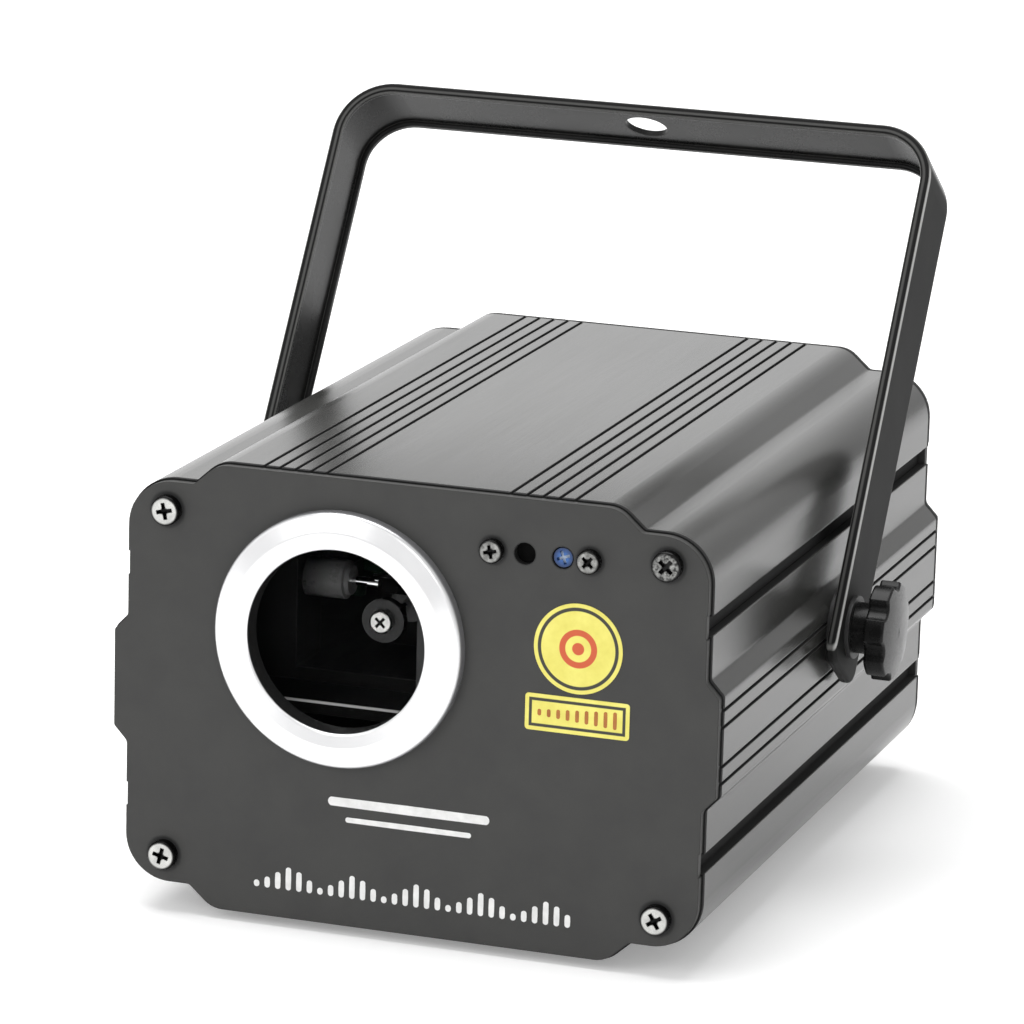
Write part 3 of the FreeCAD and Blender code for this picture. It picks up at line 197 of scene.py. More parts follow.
def makeFinish(name, look):
    look = {**recipe, **look}
    mat, tree, shader = newFinish(name)
    broad = noise(tree, objectCoords(tree, look["stretch"]), look["scale"], look["broadDetail"])
    fine = noise(tree, objectCoords(tree, look["fineStretch"]), look["fineScale"], look["fineDetail"],
                 look["fineRough"])
    tone = mixColour(tree, ramp(tree, broad, *look["toneFrom"]), look["dark"], look["light"])
    grain = maths(tree, "MULTIPLY_ADD", fine, look["fineShare"], times(tree, broad, look["broadShare"]))
    rough = mapRange(tree, grain, *look["roughFrom"], *look["rough"])
    bump = addNode(tree, "ShaderNodeBump", {"Strength": look["bump"], "Distance": look["depth"], "Height": fine})
    if look["edge"]:
        # another tone on sharp edges, where the softened normal leaves the true one; it is wear on some finishes
        # and painted highlight and painted shade on others
        soft = addNode(tree, "ShaderNodeBevel", {"Radius": look["edge"]}, samples=look["edgeSamples"])
        flat = addNode(tree, "ShaderNodeNewGeometry")
        same = vectorMaths(tree, "DOT_PRODUCT", soft.outputs["Normal"], flat.outputs["Normal"])["Value"]
        edgeShare = mapRange(tree, broad, *look["edgeShareFrom"], look["edgeShareLow"], look["edgeShare"])
        tone = mixColour(tree, times(tree, ramp(tree, same, *look["edgeFrom"]), edgeShare), tone, look["edgeTone"])
        tree.links.new(soft.outputs["Normal"], bump.inputs["Normal"])
    tree.links.new(tone, shader.inputs["Base Color"])
    tree.links.new(rough, shader.inputs["Roughness"])
    tree.links.new(bump.outputs["Normal"], shader.inputs["Normal"])
    for socket, value in look["set"].items():
        shader.inputs[socket].default_value = value
    return mat


def recolour(mat, share, colour):
    # lays a second colour over a finish where the share is 1
    tree = mat.node_tree
    socket = tree.nodes["Principled BSDF"].inputs["Base Color"]
    under = socket.links[0].from_socket
    tree.links.new(mixColour(tree, share, under, colour), socket)


def roughen(mat, share, rough):
    # sets the roughness where the share is 1
    tree = mat.node_tree
    socket = tree.nodes["Principled BSDF"].inputs["Roughness"]
    under = socket.links[0].from_socket
    tree.links.new(mixValue(tree, share, under, rough), socket)


# one finish for each slot of the record
finishes = {}

# anodised extrusions; their light edge tone is wear and painted highlight on the sharp edges
coverLook = {"dark": (0.023, 0.023, 0.0215), "light": (0.032, 0.032, 0.030), "scale": 50, "stretch": (3, 0.25, 3),
             "fineScale": 1500, "fineStretch": (1, 0.03, 1), "rough": (0.215, 0.265), "bump": 0.012,
             "depth": 0.00005, "edge": 0.0005, "edgeTone": (0.13, 0.13, 0.125), "edgeShare": 0.5, "set": {"IOR": 1.52}}
finishes["anodised_black"] = makeFinish("coverAnodised", coverLook)

# powder-coated plates; their dark edge tone is painted shade along the sharp edges
plateLook = {"dark": (0.033, 0.033, 0.032), "light": (0.044, 0.044, 0.042), "scale": 90, "fineScale": 3200,
             "rough": (0.52, 0.68), "bump": 0.18, "depth": 0.00008, "edge": 0.0004, "edgeTone": (0.012, 0.012, 0.012),
             "edgeShareLow": 0.6, "edgeShare": 0.9, "set": {"Specular IOR Level": 0.45}}
finishes["plate_grey"] = makeFinish("platePowderCoat", plateLook)

# bracket paint; its light edge tone is wear and painted highlight on the sharp edges
bracketLook = {"dark": (0.008, 0.008, 0.008), "light": (0.013, 0.013, 0.0125), "scale": 70, "fineScale": 2600,
               "rough": (0.24, 0.32), "bump": 0.05, "depth": 0.00005, "edge": 0.0004, "edgeTone": (0.12, 0.12, 0.115),
               "edgeShareLow": 0.4, "edgeShare": 0.8, "set": {"IOR": 1.45, "Specular IOR Level": 0.19}}
finishes["bracket_black"] = makeFinish("bracketPowderCoat", bracketLook)

footLook = {"dark": (0.016, 0.016, 0.016), "light": (0.026, 0.026, 0.025), "scale": 400, "fineScale": 2400,
            "rough": (0.75, 0.9), "bump": 0.3, "depth": 0.0001}
finishes["foot_rubber"] = makeFinish("footRubber", footLook)

knobLook = {"dark": (0.003, 0.003, 0.003), "light": (0.005, 0.005, 0.005), "scale": 260, "fineScale": 2200,
            "rough": (0.22, 0.32), "bump": 0.05, "depth": 0.00005, "edge": 0.0004, "edgeTone": (0.05, 0.05, 0.05),
            "set": {"Specular IOR Level": 0.19}}
finishes["knob_black"] = makeFinish("knobMoulded", knobLook)

steelLook = {"dark": (0.44, 0.44, 0.43), "light": (0.58, 0.58, 0.56), "scale": 420, "fineScale": 2600,
             "rough": (0.18, 0.32), "bump": 0.06, "depth": 0.00008, "set": {"Metallic": 1.0}}
finishes["plain_steel"] = makeFinish("screwZinc", steelLook)

blackPlasticLook = {"dark": (0.014, 0.014, 0.014), "light": (0.022, 0.022, 0.022), "scale": 240, "fineScale": 3000,
                    "rough": (0.42, 0.56), "bump": 0.16, "depth": 0.00008, "edge": 0.0003,
                    "edgeTone": (0.06, 0.06, 0.06), "edgeShare": 0.35}
finishes["plastic_black"] = makeFinish("socketMoulded", blackPlasticLook)

bluePlasticLook = {"dark": (0.030, 0.15, 0.46), "light": (0.050, 0.22, 0.60), "scale": 500, "fineScale": 2500,
                   "rough": (0.26, 0.36), "bump": 0.06, "depth": 0.00006}
finishes["plastic_blue"] = makeFinish("trimmerMoulded", bluePlasticLook)

whitePlasticLook = {"dark": (0.66, 0.65, 0.61), "light": (0.76, 0.75, 0.71), "scale": 300, "fineScale": 1800,
                    "rough": (0.45, 0.6), "bump": 0.08, "depth": 0.00008}
finishes["plastic_white"] = makeFinish("spacerNylon", whitePlasticLook)

rockerLook = {"dark": (0.38, 0.012, 0.012), "light": (0.50, 0.020, 0.018), "scale": 200, "fineScale": 2400,
              "rough": (0.16, 0.26), "bump": 0.05, "depth": 0.00006, "set": {"Coat Weight": 0.3}}
finishes["rocker_red"] = makeFinish("rockerMoulded", rockerLook)

boardLook = {"dark": (0.010, 0.085, 0.035), "light": (0.018, 0.13, 0.055), "scale": 120, "fineScale": 1600,
             "rough": (0.30, 0.42), "bump": 0.08, "depth": 0.00008}
finishes["board_green"] = makeFinish("boardMask", boardLook)

displayLook = {"dark": (0.018, 0.004, 0.004), "light": (0.028, 0.006, 0.006), "scale": 150, "fineScale": 900,
               "rough": (0.06, 0.12), "bump": 0.02, "depth": 0.00005, "set": {"Coat Weight": 0.5}}
finishes["display_dark"] = makeFinish("displayTint", displayLook)

brassLook = {"dark": (0.62, 0.42, 0.16), "light": (0.78, 0.57, 0.26), "scale": 220, "stretch": (1, 0.1, 1),
             "fineScale": 1800, "rough": (0.16, 0.30), "bump": 0.05, "depth": 0.00006, "set": {"Metallic": 1.0}}
finishes["bright_brass"] = makeFinish("pinBrass", brassLook)

opticsLook = {"dark": (0.003, 0.003, 0.003), "light": (0.005, 0.005, 0.005), "scale": 160, "stretch": (1, 0.15, 1),
              "fineScale": 1400, "fineStretch": (1, 0.05, 1), "rough": (0.45, 0.60), "bump": 0.06, "depth": 0.00006,
              "edge": 0.0004, "edgeTone": (0.10, 0.10, 0.10), "edgeShare": 0.5, "set": {"Specular IOR Level": 0.06}}
finishes["optics_black"] = makeFinish("deckAnodised", opticsLook)

motorLook = {"dark": (0.034, 0.034, 0.035), "light": (0.056, 0.056, 0.057), "scale": 180, "fineScale": 1800,
             "rough": (0.24, 0.36), "bump": 0.08, "depth": 0.00008, "edge": 0.0004, "edgeTone": (0.16, 0.16, 0.16),
             "edgeShare": 0.5}
finishes["motor_dark"] = makeFinish("motorOxide", motorLook)

mirrorLook = {"dark": (0.82, 0.83, 0.84), "light": (0.90, 0.91, 0.92), "scale": 90, "fineScale": 400,
              "rough": (0.02, 0.05), "bump": 0.01, "depth": 0.00002, "set": {"Metallic": 1.0}}
finishes["mirror_glass"] = makeFinish("mirrorCoated", mirrorLook)

# bezel: bright turned ring with faint lathe lines round its own centre, with painted shade in the bore and on the
# outer side
bezelLook = {"dark": (0.93, 0.93, 0.94), "light": (0.97, 0.97, 0.98), "scale": 40, "fineScale": 900,
             "rough": (0.20, 0.26), "bump": 0.02, "depth": 0.00004, "set": {"Metallic": 0.50}, "ringScale": 2600,
             "ringDetail": 2.0, "ringFrom": (0.3, 0.7), "bore": 0.02112, "boreShade": (0.05, 0.05, 0.05),
             "side": 0.0291, "sideSoft": 0.0003, "sideShade": (0.30, 0.30, 0.31)}
mat = makeFinish("bezelTurned", bezelLook)
tree = mat.node_tree
radius = distanceFrom(tree, middleOf("aperture_bezel"))
outwards = addNode(tree, "ShaderNodeCombineXYZ", {"X": radius}).outputs["Vector"]
lines = noise(tree, outwards, bezelLook["ringScale"], bezelLook["ringDetail"])
rough = mapRange(tree, lines, *bezelLook["ringFrom"], *bezelLook["rough"])
tree.links.new(rough, tree.nodes["Principled BSDF"].inputs["Roughness"])
# painted shade in the bore and on the outer side
recolour(mat, below(tree, radius, bezelLook["bore"]), bezelLook["boreShade"])
recolour(mat, above(tree, radius, bezelLook["side"], bezelLook["sideSoft"]), bezelLook["sideShade"])
finishes["bezel_chrome"] = mat

# window: clear, with a little dust
windowLook = {"tint": (0.010, 0.012, 0.012), "dust": (0.05, 0.05, 0.05), "dustScale": 140.0, "dustDetail": 5.0,
              "dustFrom": (0.35, 0.75), "alpha": (0.008, 0.020), "rough": 0.04}
mat, tree, shader = newFinish("windowClear")
dust = noise(tree, objectCoords(tree), windowLook["dustScale"], windowLook["dustDetail"])
alpha = mapRange(tree, dust, *windowLook["dustFrom"], *windowLook["alpha"])
tree.links.new(alpha, shader.inputs["Alpha"])
tree.links.new(mixColour(tree, dust, windowLook["tint"], windowLook["dust"]), shader.inputs["Base Color"])
shader.inputs["Roughness"].default_value = windowLook["rough"]
finishes["window_clear"] = mat
print("finishes made", len(finishes))


# finishes of single solids, before those of their slots
own = {}

# screw heads with painted shade in their cross recesses and round their rims, painted shade round each head
# and inside each sound hole on the plates, and the upper right screw of the front tarnished
screwLook = {"corner": {"middle": (0.0, midZ), "reach": (0.059, 0.0404), "ring": (0.0029, 0.0042),
                        "recess": 0.0021, "face": 0.09290},
             "mic": {"middle": (0.0297, midZ + 0.0394), "reach": (0.0113, 0.0), "ring": (0.0023, 0.0034),
                     "recess": 0.0017, "face": 0.09260,
                     "tint": {"dark": (0.12, 0.12, 0.115), "light": (0.34, 0.34, 0.33), "scale": 900}},
             "peep": {"middle": (0.0303, midZ + 0.0394), "reach": (0.0044, 0.0), "ring": (-1.0, 0.0026)},
             # dark edge tone of the heads: painted shade on their rims and along the edges of the recesses
             "head": {"dark": (0.40, 0.40, 0.39), "light": (0.60, 0.60, 0.58), "edge": 0.00030,
                      "edgeTone": (0.010, 0.010, 0.010), "edgeShareLow": 0.85, "edgeShare": 1.0},
             "core": 0.0009, "headSoft": 0.0002, "ringSoft": 0.0003, "dark": (0.010, 0.010, 0.010),
             "spots": (0.50, 0.96), "spotsFrom": (0.38, 0.62), "spotScale": 1300, "spotTone": (0.02, 0.02, 0.02)}
for node, key in (("plate_screws", "corner"), ("mic_board_screws", "mic")):
    look = screwLook[key]
    mat = makeFinish(key + "ScrewZinc", {**steelLook, **screwLook["head"], **look.get("tint", {})})
    tree = mat.node_tree
    gap = distanceFrom(tree, look["middle"], look["reach"])
    depth = maths(tree, "ABSOLUTE", axesFrom(tree)["Y"])
    recess = times(tree, below(tree, gap, look["recess"]), below(tree, depth, look["face"]))
    # painted shade in the middle of the recess, round the rim of the head and down the cross recess
    recolour(mat, below(tree, gap, screwLook["core"], screwLook["headSoft"]), screwLook["dark"])
    recolour(mat, above(tree, gap, look["ring"][0], screwLook["headSoft"]), screwLook["dark"])
    recolour(mat, recess, screwLook["dark"])
    own[node] = mat
mat = own["plate_screws"]
tree = mat.node_tree
along = axesFrom(tree)
upperRight = times(tree, above(tree, along["X"], 0.0), above(tree, along["Z"], midZ), below(tree, along["Y"], 0.0))
grain = noise(tree, objectCoords(tree), screwLook["spotScale"])
spots = mapRange(tree, grain, *screwLook["spotsFrom"], *screwLook["spots"])
recolour(mat, times(tree, upperRight, spots), screwLook["spotTone"])
for node, keys in (("front_plate", ("corner", "mic", "peep")), ("rear_plate", ("corner",))):
    mat = makeFinish(node.replace("_plate", "PlateCoat"), plateLook)
    tree = mat.node_tree
    for key in keys:
        gap = distanceFrom(tree, screwLook[key]["middle"], screwLook[key]["reach"])
        # painted shade round each head and inside each sound hole
        recolour(mat, between(tree, gap, *screwLook[key]["ring"], screwLook["ringSoft"]), screwLook["dark"])
    own[node] = mat

# socket and fan screws as on the plates, with painted shade in their narrow recesses
rearScrew = {"reach": 0.0009, "samples": 8, "openFrom": (0.80, 0.45)}
mat = makeFinish("rearScrewZinc", {**steelLook, **screwLook["head"]})
tree = mat.node_tree
around = addNode(tree, "ShaderNodeAmbientOcclusion", {"Distance": rearScrew["reach"]},
                 samples=rearScrew["samples"], only_local=True)
recolour(mat, ramp(tree, around.outputs["AO"], *rearScrew["openFrom"]), screwLook["dark"])
own["rear_screws"] = mat

# lower scan mirror: bright plate, dark turned hub in front of it
hubLook = {"thick": 0.0025, "dark": (0.022, 0.022, 0.022)}
mat = makeFinish("scanHubAndMirror", mirrorLook)
tree = mat.node_tree
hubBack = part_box("scan_x_mirror")[0].y + hubLook["thick"]
recolour(mat, below(tree, axesFrom(tree)["Y"], hubBack), hubLook["dark"])
own["scan_x_mirror"] = mat

# screw of the hub with painted shade in its recess
hubScrew = {"share": 0.62, "face": 0.00025}
low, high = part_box("scan_x_screw")
mat = makeFinish("hubScrewZinc", steelLook)
tree = mat.node_tree
inside = below(tree, distanceFrom(tree, middleOf("scan_x_screw")), hubScrew["share"] * (high.x - low.x) / 2)
sunk = above(tree, axesFrom(tree)["Y"], low.y + hubScrew["face"])
recolour(mat, times(tree, inside, sunk), screwLook["dark"])
own["scan_x_screw"] = mat

# trimmer: painted shade darkening it towards the rim, pale cross slot
dialLook = {**bluePlasticLook, "dark": (0.018, 0.085, 0.30), "light": (0.035, 0.14, 0.42),
            "rim": (0.004, 0.020, 0.08), "rimShadeFrom": (0.0009, 0.0023), "slot": (0.42, 0.50, 0.62), "face": 0.0003,
            "reach": 0.0013}
mat = makeFinish("dialMoulded", dialLook)
tree = mat.node_tree
gap = distanceFrom(tree, middleOf("sensitivity_rotor"))
recolour(mat, ramp(tree, gap, *dialLook["rimShadeFrom"]), dialLook["rim"])
sunk = above(tree, axesFrom(tree)["Y"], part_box("sensitivity_rotor")[0].y + dialLook["face"])
recolour(mat, times(tree, sunk, below(tree, gap, dialLook["reach"])), dialLook["slot"])
own["sensitivity_rotor"] = mat

# scan motors: painted highlight, paler towards the shaft of the upper one
motorHighlightLook = {"tone": (0.18, 0.18, 0.18), "from": (0.40, 0.56)}
low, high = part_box("scanner_motors")
mat = makeFinish("motorOxidePaintedHighlight", motorLook)
tree = mat.node_tree
reach = ramp(tree, axesFrom(tree)["X"], low.x, high.x)
recolour(mat, ramp(tree, reach, *motorHighlightLook["from"]), motorHighlightLook["tone"])
own["scanner_motors"] = mat

# scanner mount: painted highlight along the front edge of the cheek
cheekHighlightLook = {"wide": 0.0025, "deep": 0.0005, "tone": (0.10, 0.10, 0.10)}
low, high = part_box("scanner_mount")
mat = makeFinish("mountAnodised", opticsLook)
tree = mat.node_tree
along = axesFrom(tree)
front = below(tree, along["Y"], low.y + cheekHighlightLook["deep"])
recolour(mat, times(tree, front, above(tree, along["X"], high.x - cheekHighlightLook["wide"])), cheekHighlightLook["tone"])
own["scanner_mount"] = mat

# microphone with a black felt face
feltLook = {"dark": (0.003, 0.003, 0.003), "light": (0.006, 0.006, 0.006), "scale": 900, "fineScale": 4000,
            "rough": (0.85, 0.95), "bump": 0.3, "depth": 0.0001, "set": {"Specular IOR Level": 0.1}}
own["mic_capsule"] = makeFinish("micFelt", feltLook)

# optical deck: painted highlight line along the front edge
deckHighlight = {"wide": 0.0005, "edgeTone": (0.55, 0.55, 0.54)}
low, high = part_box("optical_deck")
mat = makeFinish("deckWithPaintedHighlight", opticsLook)
tree = mat.node_tree
along = axesFrom(tree)
front = below(tree, along["Y"], low.y + deckHighlight["wide"])
recolour(mat, times(tree, front, above(tree, along["Z"], high.z - deckHighlight["wide"])), deckHighlight["edgeTone"])
own["optical_deck"] = mat

# bracket: painted highlight line along both edges of the strap, brighter on the arms, dull outer sides of the arms,
# painted shade on the lips with a faint painted highlight line
strapLook = {"tilt": math.radians(33.9), "pivot": midZ + 0.006, "line": (0.01000, 0.01055), "lineSoft": 0.00015,
             "edgeTone": (0.15, 0.15, 0.145), "arm": 0.0753, "armSoft": 0.0003, "armHighlight": (0.45, 0.45, 0.44),
             "dull": 0.68, "lip": 0.01060, "lipShade": (0.003, 0.003, 0.003), "lipHighlightLine": (0.0013, 0.0019),
             "lipHighlight": (0.06, 0.06, 0.058), "bend": 0.014, "half": 0.076, "reach": 0.123}
tiltCos, tiltSin = math.cos(strapLook["tilt"]), math.sin(strapLook["tilt"])
mat = makeFinish("bracketWithPaintedHighlights", bracketLook)
tree = mat.node_tree
along = axesFrom(tree, (0, 0, strapLook["pivot"]))
across = maths(tree, "ABSOLUTE", along["X"])
back = maths(tree, "MULTIPLY_ADD", along["Z"], -tiltSin, times(tree, along["Y"], tiltCos))
depth = maths(tree, "ABSOLUTE", back)
line = between(tree, depth, *strapLook["line"], strapLook["lineSoft"])
arm = above(tree, across, strapLook["arm"], strapLook["armSoft"])
lip = above(tree, depth, strapLook["lip"])
# painted highlight lines along both edges of the strap, brighter on the arms
recolour(mat, line, strapLook["edgeTone"])
recolour(mat, times(tree, line, arm), strapLook["armHighlight"])
# painted shade on the lips
recolour(mat, lip, strapLook["lipShade"])
roughen(mat, larger(tree, arm, lip), strapLook["dull"])
out = maths(tree, "MULTIPLY_ADD", along["Z"], tiltCos, times(tree, along["Y"], tiltSin))
pastArm = maths(tree, "SUBTRACT", across, strapLook["half"] - strapLook["bend"])
pastBar = maths(tree, "SUBTRACT", out, strapLook["reach"] - strapLook["bend"])
corner = addNode(tree, "ShaderNodeCombineXYZ", {"X": larger(tree, pastArm, 0.0), "Y": larger(tree, pastBar, 0.0)})
reached = vectorMaths(tree, "LENGTH", corner.outputs["Vector"])["Value"]
fromRim = maths(tree, "SUBTRACT", strapLook["bend"], reached)
lipHighlightLine = between(tree, fromRim, *strapLook["lipHighlightLine"], strapLook["lineSoft"])
# faint painted highlight line along the lips
recolour(mat, times(tree, lip, lipHighlightLine), strapLook["lipHighlight"])
own["bracket"] = mat

# extrusions: painted shade in the flutes, grooves and slots, inside and at the joints with the plates
shadeLineLook = {"fluteFirst": 0.0217, "flutePitch": 0.00375, "flutes": (0.0205, 0.0379), "fluteHalf": 0.00050,
            "crown": 0.0012, "grooves": (0.0045, 0.0084), "grooveHalf": 0.00045, "band": 0.0710,
            "slot": (0.0246, 0.0297), "slotIn": 0.0685, "inside": (0.0676, 0.0462, 0.1075), "joint": 0.0012,
            "jointSoft": 0.0002, "dark": (0.003, 0.003, 0.003), "rough": 0.95}
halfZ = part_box("top_cover")[1].z - midZ
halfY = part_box("top_cover")[1].y
for node in ("top_cover", "bottom_cover", "left_side_panel", "right_side_panel"):
    mat = makeFinish(node.replace("_", "") + "Anodised", coverLook)
    tree = mat.node_tree
    folded = foldedFrom(tree, (0, 0, midZ))
    x, y, z = folded["X"], folded["Y"], folded["Z"]
    steps = maths(tree, "DIVIDE", maths(tree, "SUBTRACT", x, shadeLineLook["fluteFirst"]), shadeLineLook["flutePitch"])
    fromStep = maths(tree, "ABSOLUTE", maths(tree, "SUBTRACT", steps, maths(tree, "ROUND", steps)))
    flute = below(tree, times(tree, fromStep, shadeLineLook["flutePitch"]), shadeLineLook["fluteHalf"])
    onTop = above(tree, z, halfZ - shadeLineLook["crown"])
    dark = [times(tree, flute, between(tree, x, *shadeLineLook["flutes"]), onTop)]
    for place in shadeLineLook["grooves"]:
        groove = between(tree, z, place - shadeLineLook["grooveHalf"], place + shadeLineLook["grooveHalf"])
        dark.append(times(tree, groove, above(tree, x, shadeLineLook["band"])))
    dark.append(times(tree, between(tree, z, *shadeLineLook["slot"]), below(tree, x, shadeLineLook["slotIn"])))
    limits = zip((x, z, maths(tree, "ADD", x, z)), shadeLineLook["inside"])
    dark.append(times(tree, *[below(tree, value, limit) for value, limit in limits]))
    dark.append(above(tree, y, halfY - shadeLineLook["joint"], shadeLineLook["jointSoft"]))
    share = larger(tree, *dark)
    # painted shade over all these lines
    recolour(mat, share, shadeLineLook["dark"])
    roughen(mat, share, shadeLineLook["rough"])
    own[node] = mat

# dress every solid with its own finish or that of its slot
for part in frame["record"]["subparts"]:
    solid = frame["nodes"][part["node"]]
    solid.data.materials.clear()
    solid.data.materials.append(own.get(part["node"], finishes[part["material_slot"]]))
print("solids dressed", len(frame["nodes"]))


# turns a flat drawing in x and y, thickness along z, onto the front or the rear plate
def onFront(x, z, lift=0.0):
    return Matrix.Translation((x, frontY - lift, midZ + z)) @ Matrix.Rotation(math.pi / 2, 4, "X")


def onRear(x, z, lift=0.0):
    turn = Matrix.Rotation(math.pi, 4, "Z") @ Matrix.Rotation(math.pi / 2, 4, "X")
    return Matrix.Translation((x, rearY + lift, midZ + z)) @ turn


# sides of round shapes, and the distance below which two places are the same
rounding = {"bar": 16, "corner": 6, "disc": 96, "ring": 40, "same": 1e-7}


def thicken(bm, faces, thick, place):
    # raises flat faces into a thin closed sheet and puts it in its place
    start = list({v for f in faces for v in f.verts})
    grown = bmesh.ops.extrude_face_region(bm, geom=list(faces))["geom"]
    top = [g for g in grown if isinstance(g, bmesh.types.BMVert)]
    bmesh.ops.translate(bm, verts=top, vec=(0, 0, thick))
    bmesh.ops.transform(bm, matrix=place, verts=list(set(start + top)))


def flatDisc(bm, sides, radius):
    # points and faces of a flat disc
    made = bmesh.ops.create_circle(bm, cap_ends=True, segments=sides, radius=radius)["verts"]
    return made, list({f for v in made for f in v.link_faces})


def onlyRim(bm, faces, line):
    # leaves a line along the outline of flat faces
    rim = bmesh.ops.inset_region(bm, faces=faces, thickness=line, use_boundary=True, use_even_offset=True)["faces"]
    bmesh.ops.delete(bm, geom=faces, context="FACES_ONLY")
    return rim


def stadium(bm, width, height, thick, place):
    # bar with round ends
    upright = height >= width
    short, long = (width, height) if upright else (height, width)
    made, faces = flatDisc(bm, rounding["bar"], short / 2)
    for v in made:
        reach = v.co.y if upright else v.co.x
        push = (long - short) / 2 * ((reach > rounding["same"]) - (reach < -rounding["same"]))
        v.co += Vector((0, push, 0)) if upright else Vector((push, 0, 0))
    thicken(bm, faces, thick, place)


def roundedPlate(bm, width, height, corner, thick, place, line=0.0):
    # rounded rectangle, or only a line along its outline
    before = set(bm.faces)
    made = bmesh.ops.create_grid(bm, x_segments=1, y_segments=1, size=0.5)["verts"]
    bmesh.ops.scale(bm, vec=(width, height, 1), verts=made)
    bmesh.ops.bevel(bm, geom=made, offset=corner, offset_type="OFFSET", segments=rounding["corner"], profile=0.5,
                    affect="VERTICES", material=-1)
    faces = [f for f in bm.faces if f not in before]
    thicken(bm, onlyRim(bm, faces, line) if line else faces, thick, place)


def finishPiece(bm, name, mat, body="case"):
    bmesh.ops.recalc_face_normals(bm, faces=bm.faces)
    mesh = bpy.data.meshes.new(name)
    bm.to_mesh(mesh)
    bm.free()
    mesh.materials.append(mat)
    piece = bpy.data.objects.new(name, mesh)
    scene.collection.objects.link(piece)
    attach(piece, body)


# printing ink, slightly uneven
inkLook = {"dark": (0.78, 0.78, 0.77), "light": (0.90, 0.90, 0.89), "scale": 500, "fineScale": 3000,
           "rough": (0.45, 0.6), "bump": 0.08, "depth": 0.00003}
whiteInk = makeFinish("whiteInk", inkLook)

# row of level bars along the foot of the front plate
levelBars = {"count": 30, "left": -0.0362, "right": 0.0382, "foot": -0.0452, "width": 0.00135,
             "heights": (0.0016, 0.0026, 0.0040, 0.0054, 0.0046, 0.0030), "thick": 0.00005}
bm = bmesh.new()
for i in range(levelBars["count"]):
    x = levelBars["left"] + (levelBars["right"] - levelBars["left"]) * i / (levelBars["count"] - 1)
    tall = levelBars["heights"][i % len(levelBars["heights"])]
    stadium(bm, levelBars["width"], tall, levelBars["thick"], onFront(x, levelBars["foot"] + tall / 2))
finishPiece(bm, "levelBars", whiteInk)

# pair of stripes under the aperture, each with its height on the plate, length and width
stripes = {"x": 0.0, "lines": ((-0.0228, 0.0385, 0.0022), (-0.0268, 0.0300, 0.0013)), "thick": 0.00005}
bm = bmesh.new()
for z, wide, tall in stripes["lines"]:
    stadium(bm, wide, tall, stripes["thick"], onFront(stripes["x"], z))
finishPiece(bm, "frontStripes", whiteInk)

# round yellow sticker with a border, a ring and a dot
stickerLook = {"dark": (0.78, 0.70, 0.13), "light": (0.90, 0.83, 0.20), "scale": 200, "fineScale": 1500,
               "rough": (0.30, 0.42), "bump": 0.04, "depth": 0.00003}
roundSticker = {"x": 0.0389, "z": 0.0192, "radius": 0.0103, "border": (0.0086, 0.0094), "ring": (0.0030, 0.0044),
                "dot": 0.0014, "thick": 0.00012, "ink": (0.03, 0.03, 0.02), "red": (0.62, 0.10, 0.03)}
mat = makeFinish("roundStickerPrint", stickerLook)
tree = mat.node_tree
radius = distanceFrom(tree, (roundSticker["x"], midZ + roundSticker["z"]))
recolour(mat, between(tree, radius, *roundSticker["border"]), roundSticker["ink"])
recolour(mat, between(tree, radius, *roundSticker["ring"]), roundSticker["red"])
recolour(mat, below(tree, radius, roundSticker["dot"]), roundSticker["red"])
bm = bmesh.new()
disc = flatDisc(bm, rounding["disc"], roundSticker["radius"])[1]
thicken(bm, disc, roundSticker["thick"], onFront(roundSticker["x"], roundSticker["z"]))
finishPiece(bm, "roundSticker", mat)

# yellow strip under it with a frame line and a row of rising bars
stripSticker = {"x": 0.0391, "z": 0.0038, "width": 0.0243, "height": 0.0084, "corner": 0.0008, "thick": 0.00012,
                "frame": (0.0009, 0.0016), "ink": (0.03, 0.03, 0.02), "bars": 9, "pitch": 0.0022, "barWide": 0.0009,
                "barLow": 0.0012, "barRise": 0.0028, "barThick": 0.00004}
stripInkLook = {"dark": (0.36, 0.12, 0.02), "light": (0.46, 0.17, 0.03), "scale": 500, "fineScale": 2500,
                "rough": (0.4, 0.5), "bump": 0.04, "depth": 0.00003}
mat = makeFinish("stripStickerPrint", stickerLook)
tree = mat.node_tree
folded = foldedFrom(tree, (stripSticker["x"], 0, midZ + stripSticker["z"]))
fromEnd = maths(tree, "SUBTRACT", stripSticker["width"] / 2, folded["X"])
fromSide = maths(tree, "SUBTRACT", stripSticker["height"] / 2, folded["Z"])
fromEdge = maths(tree, "MINIMUM", fromEnd, fromSide)
recolour(mat, between(tree, fromEdge, *stripSticker["frame"]), stripSticker["ink"])
bm = bmesh.new()
roundedPlate(bm, stripSticker["width"], stripSticker["height"], stripSticker["corner"], stripSticker["thick"],
             onFront(stripSticker["x"], stripSticker["z"]))
finishPiece(bm, "stripSticker", mat)
bm = bmesh.new()
for i in range(stripSticker["bars"]):
    x = stripSticker["x"] + (i - (stripSticker["bars"] - 1) / 2) * stripSticker["pitch"]
    tall = stripSticker["barLow"] + stripSticker["barRise"] * (i + 1) / stripSticker["bars"]
    stadium(bm, stripSticker["barWide"], tall, stripSticker["barThick"],
            onFront(x, stripSticker["z"], stripSticker["thick"]))
finishPiece(bm, "stripBars", makeFinish("stripInk", stripInkLook))
print("front marks made")


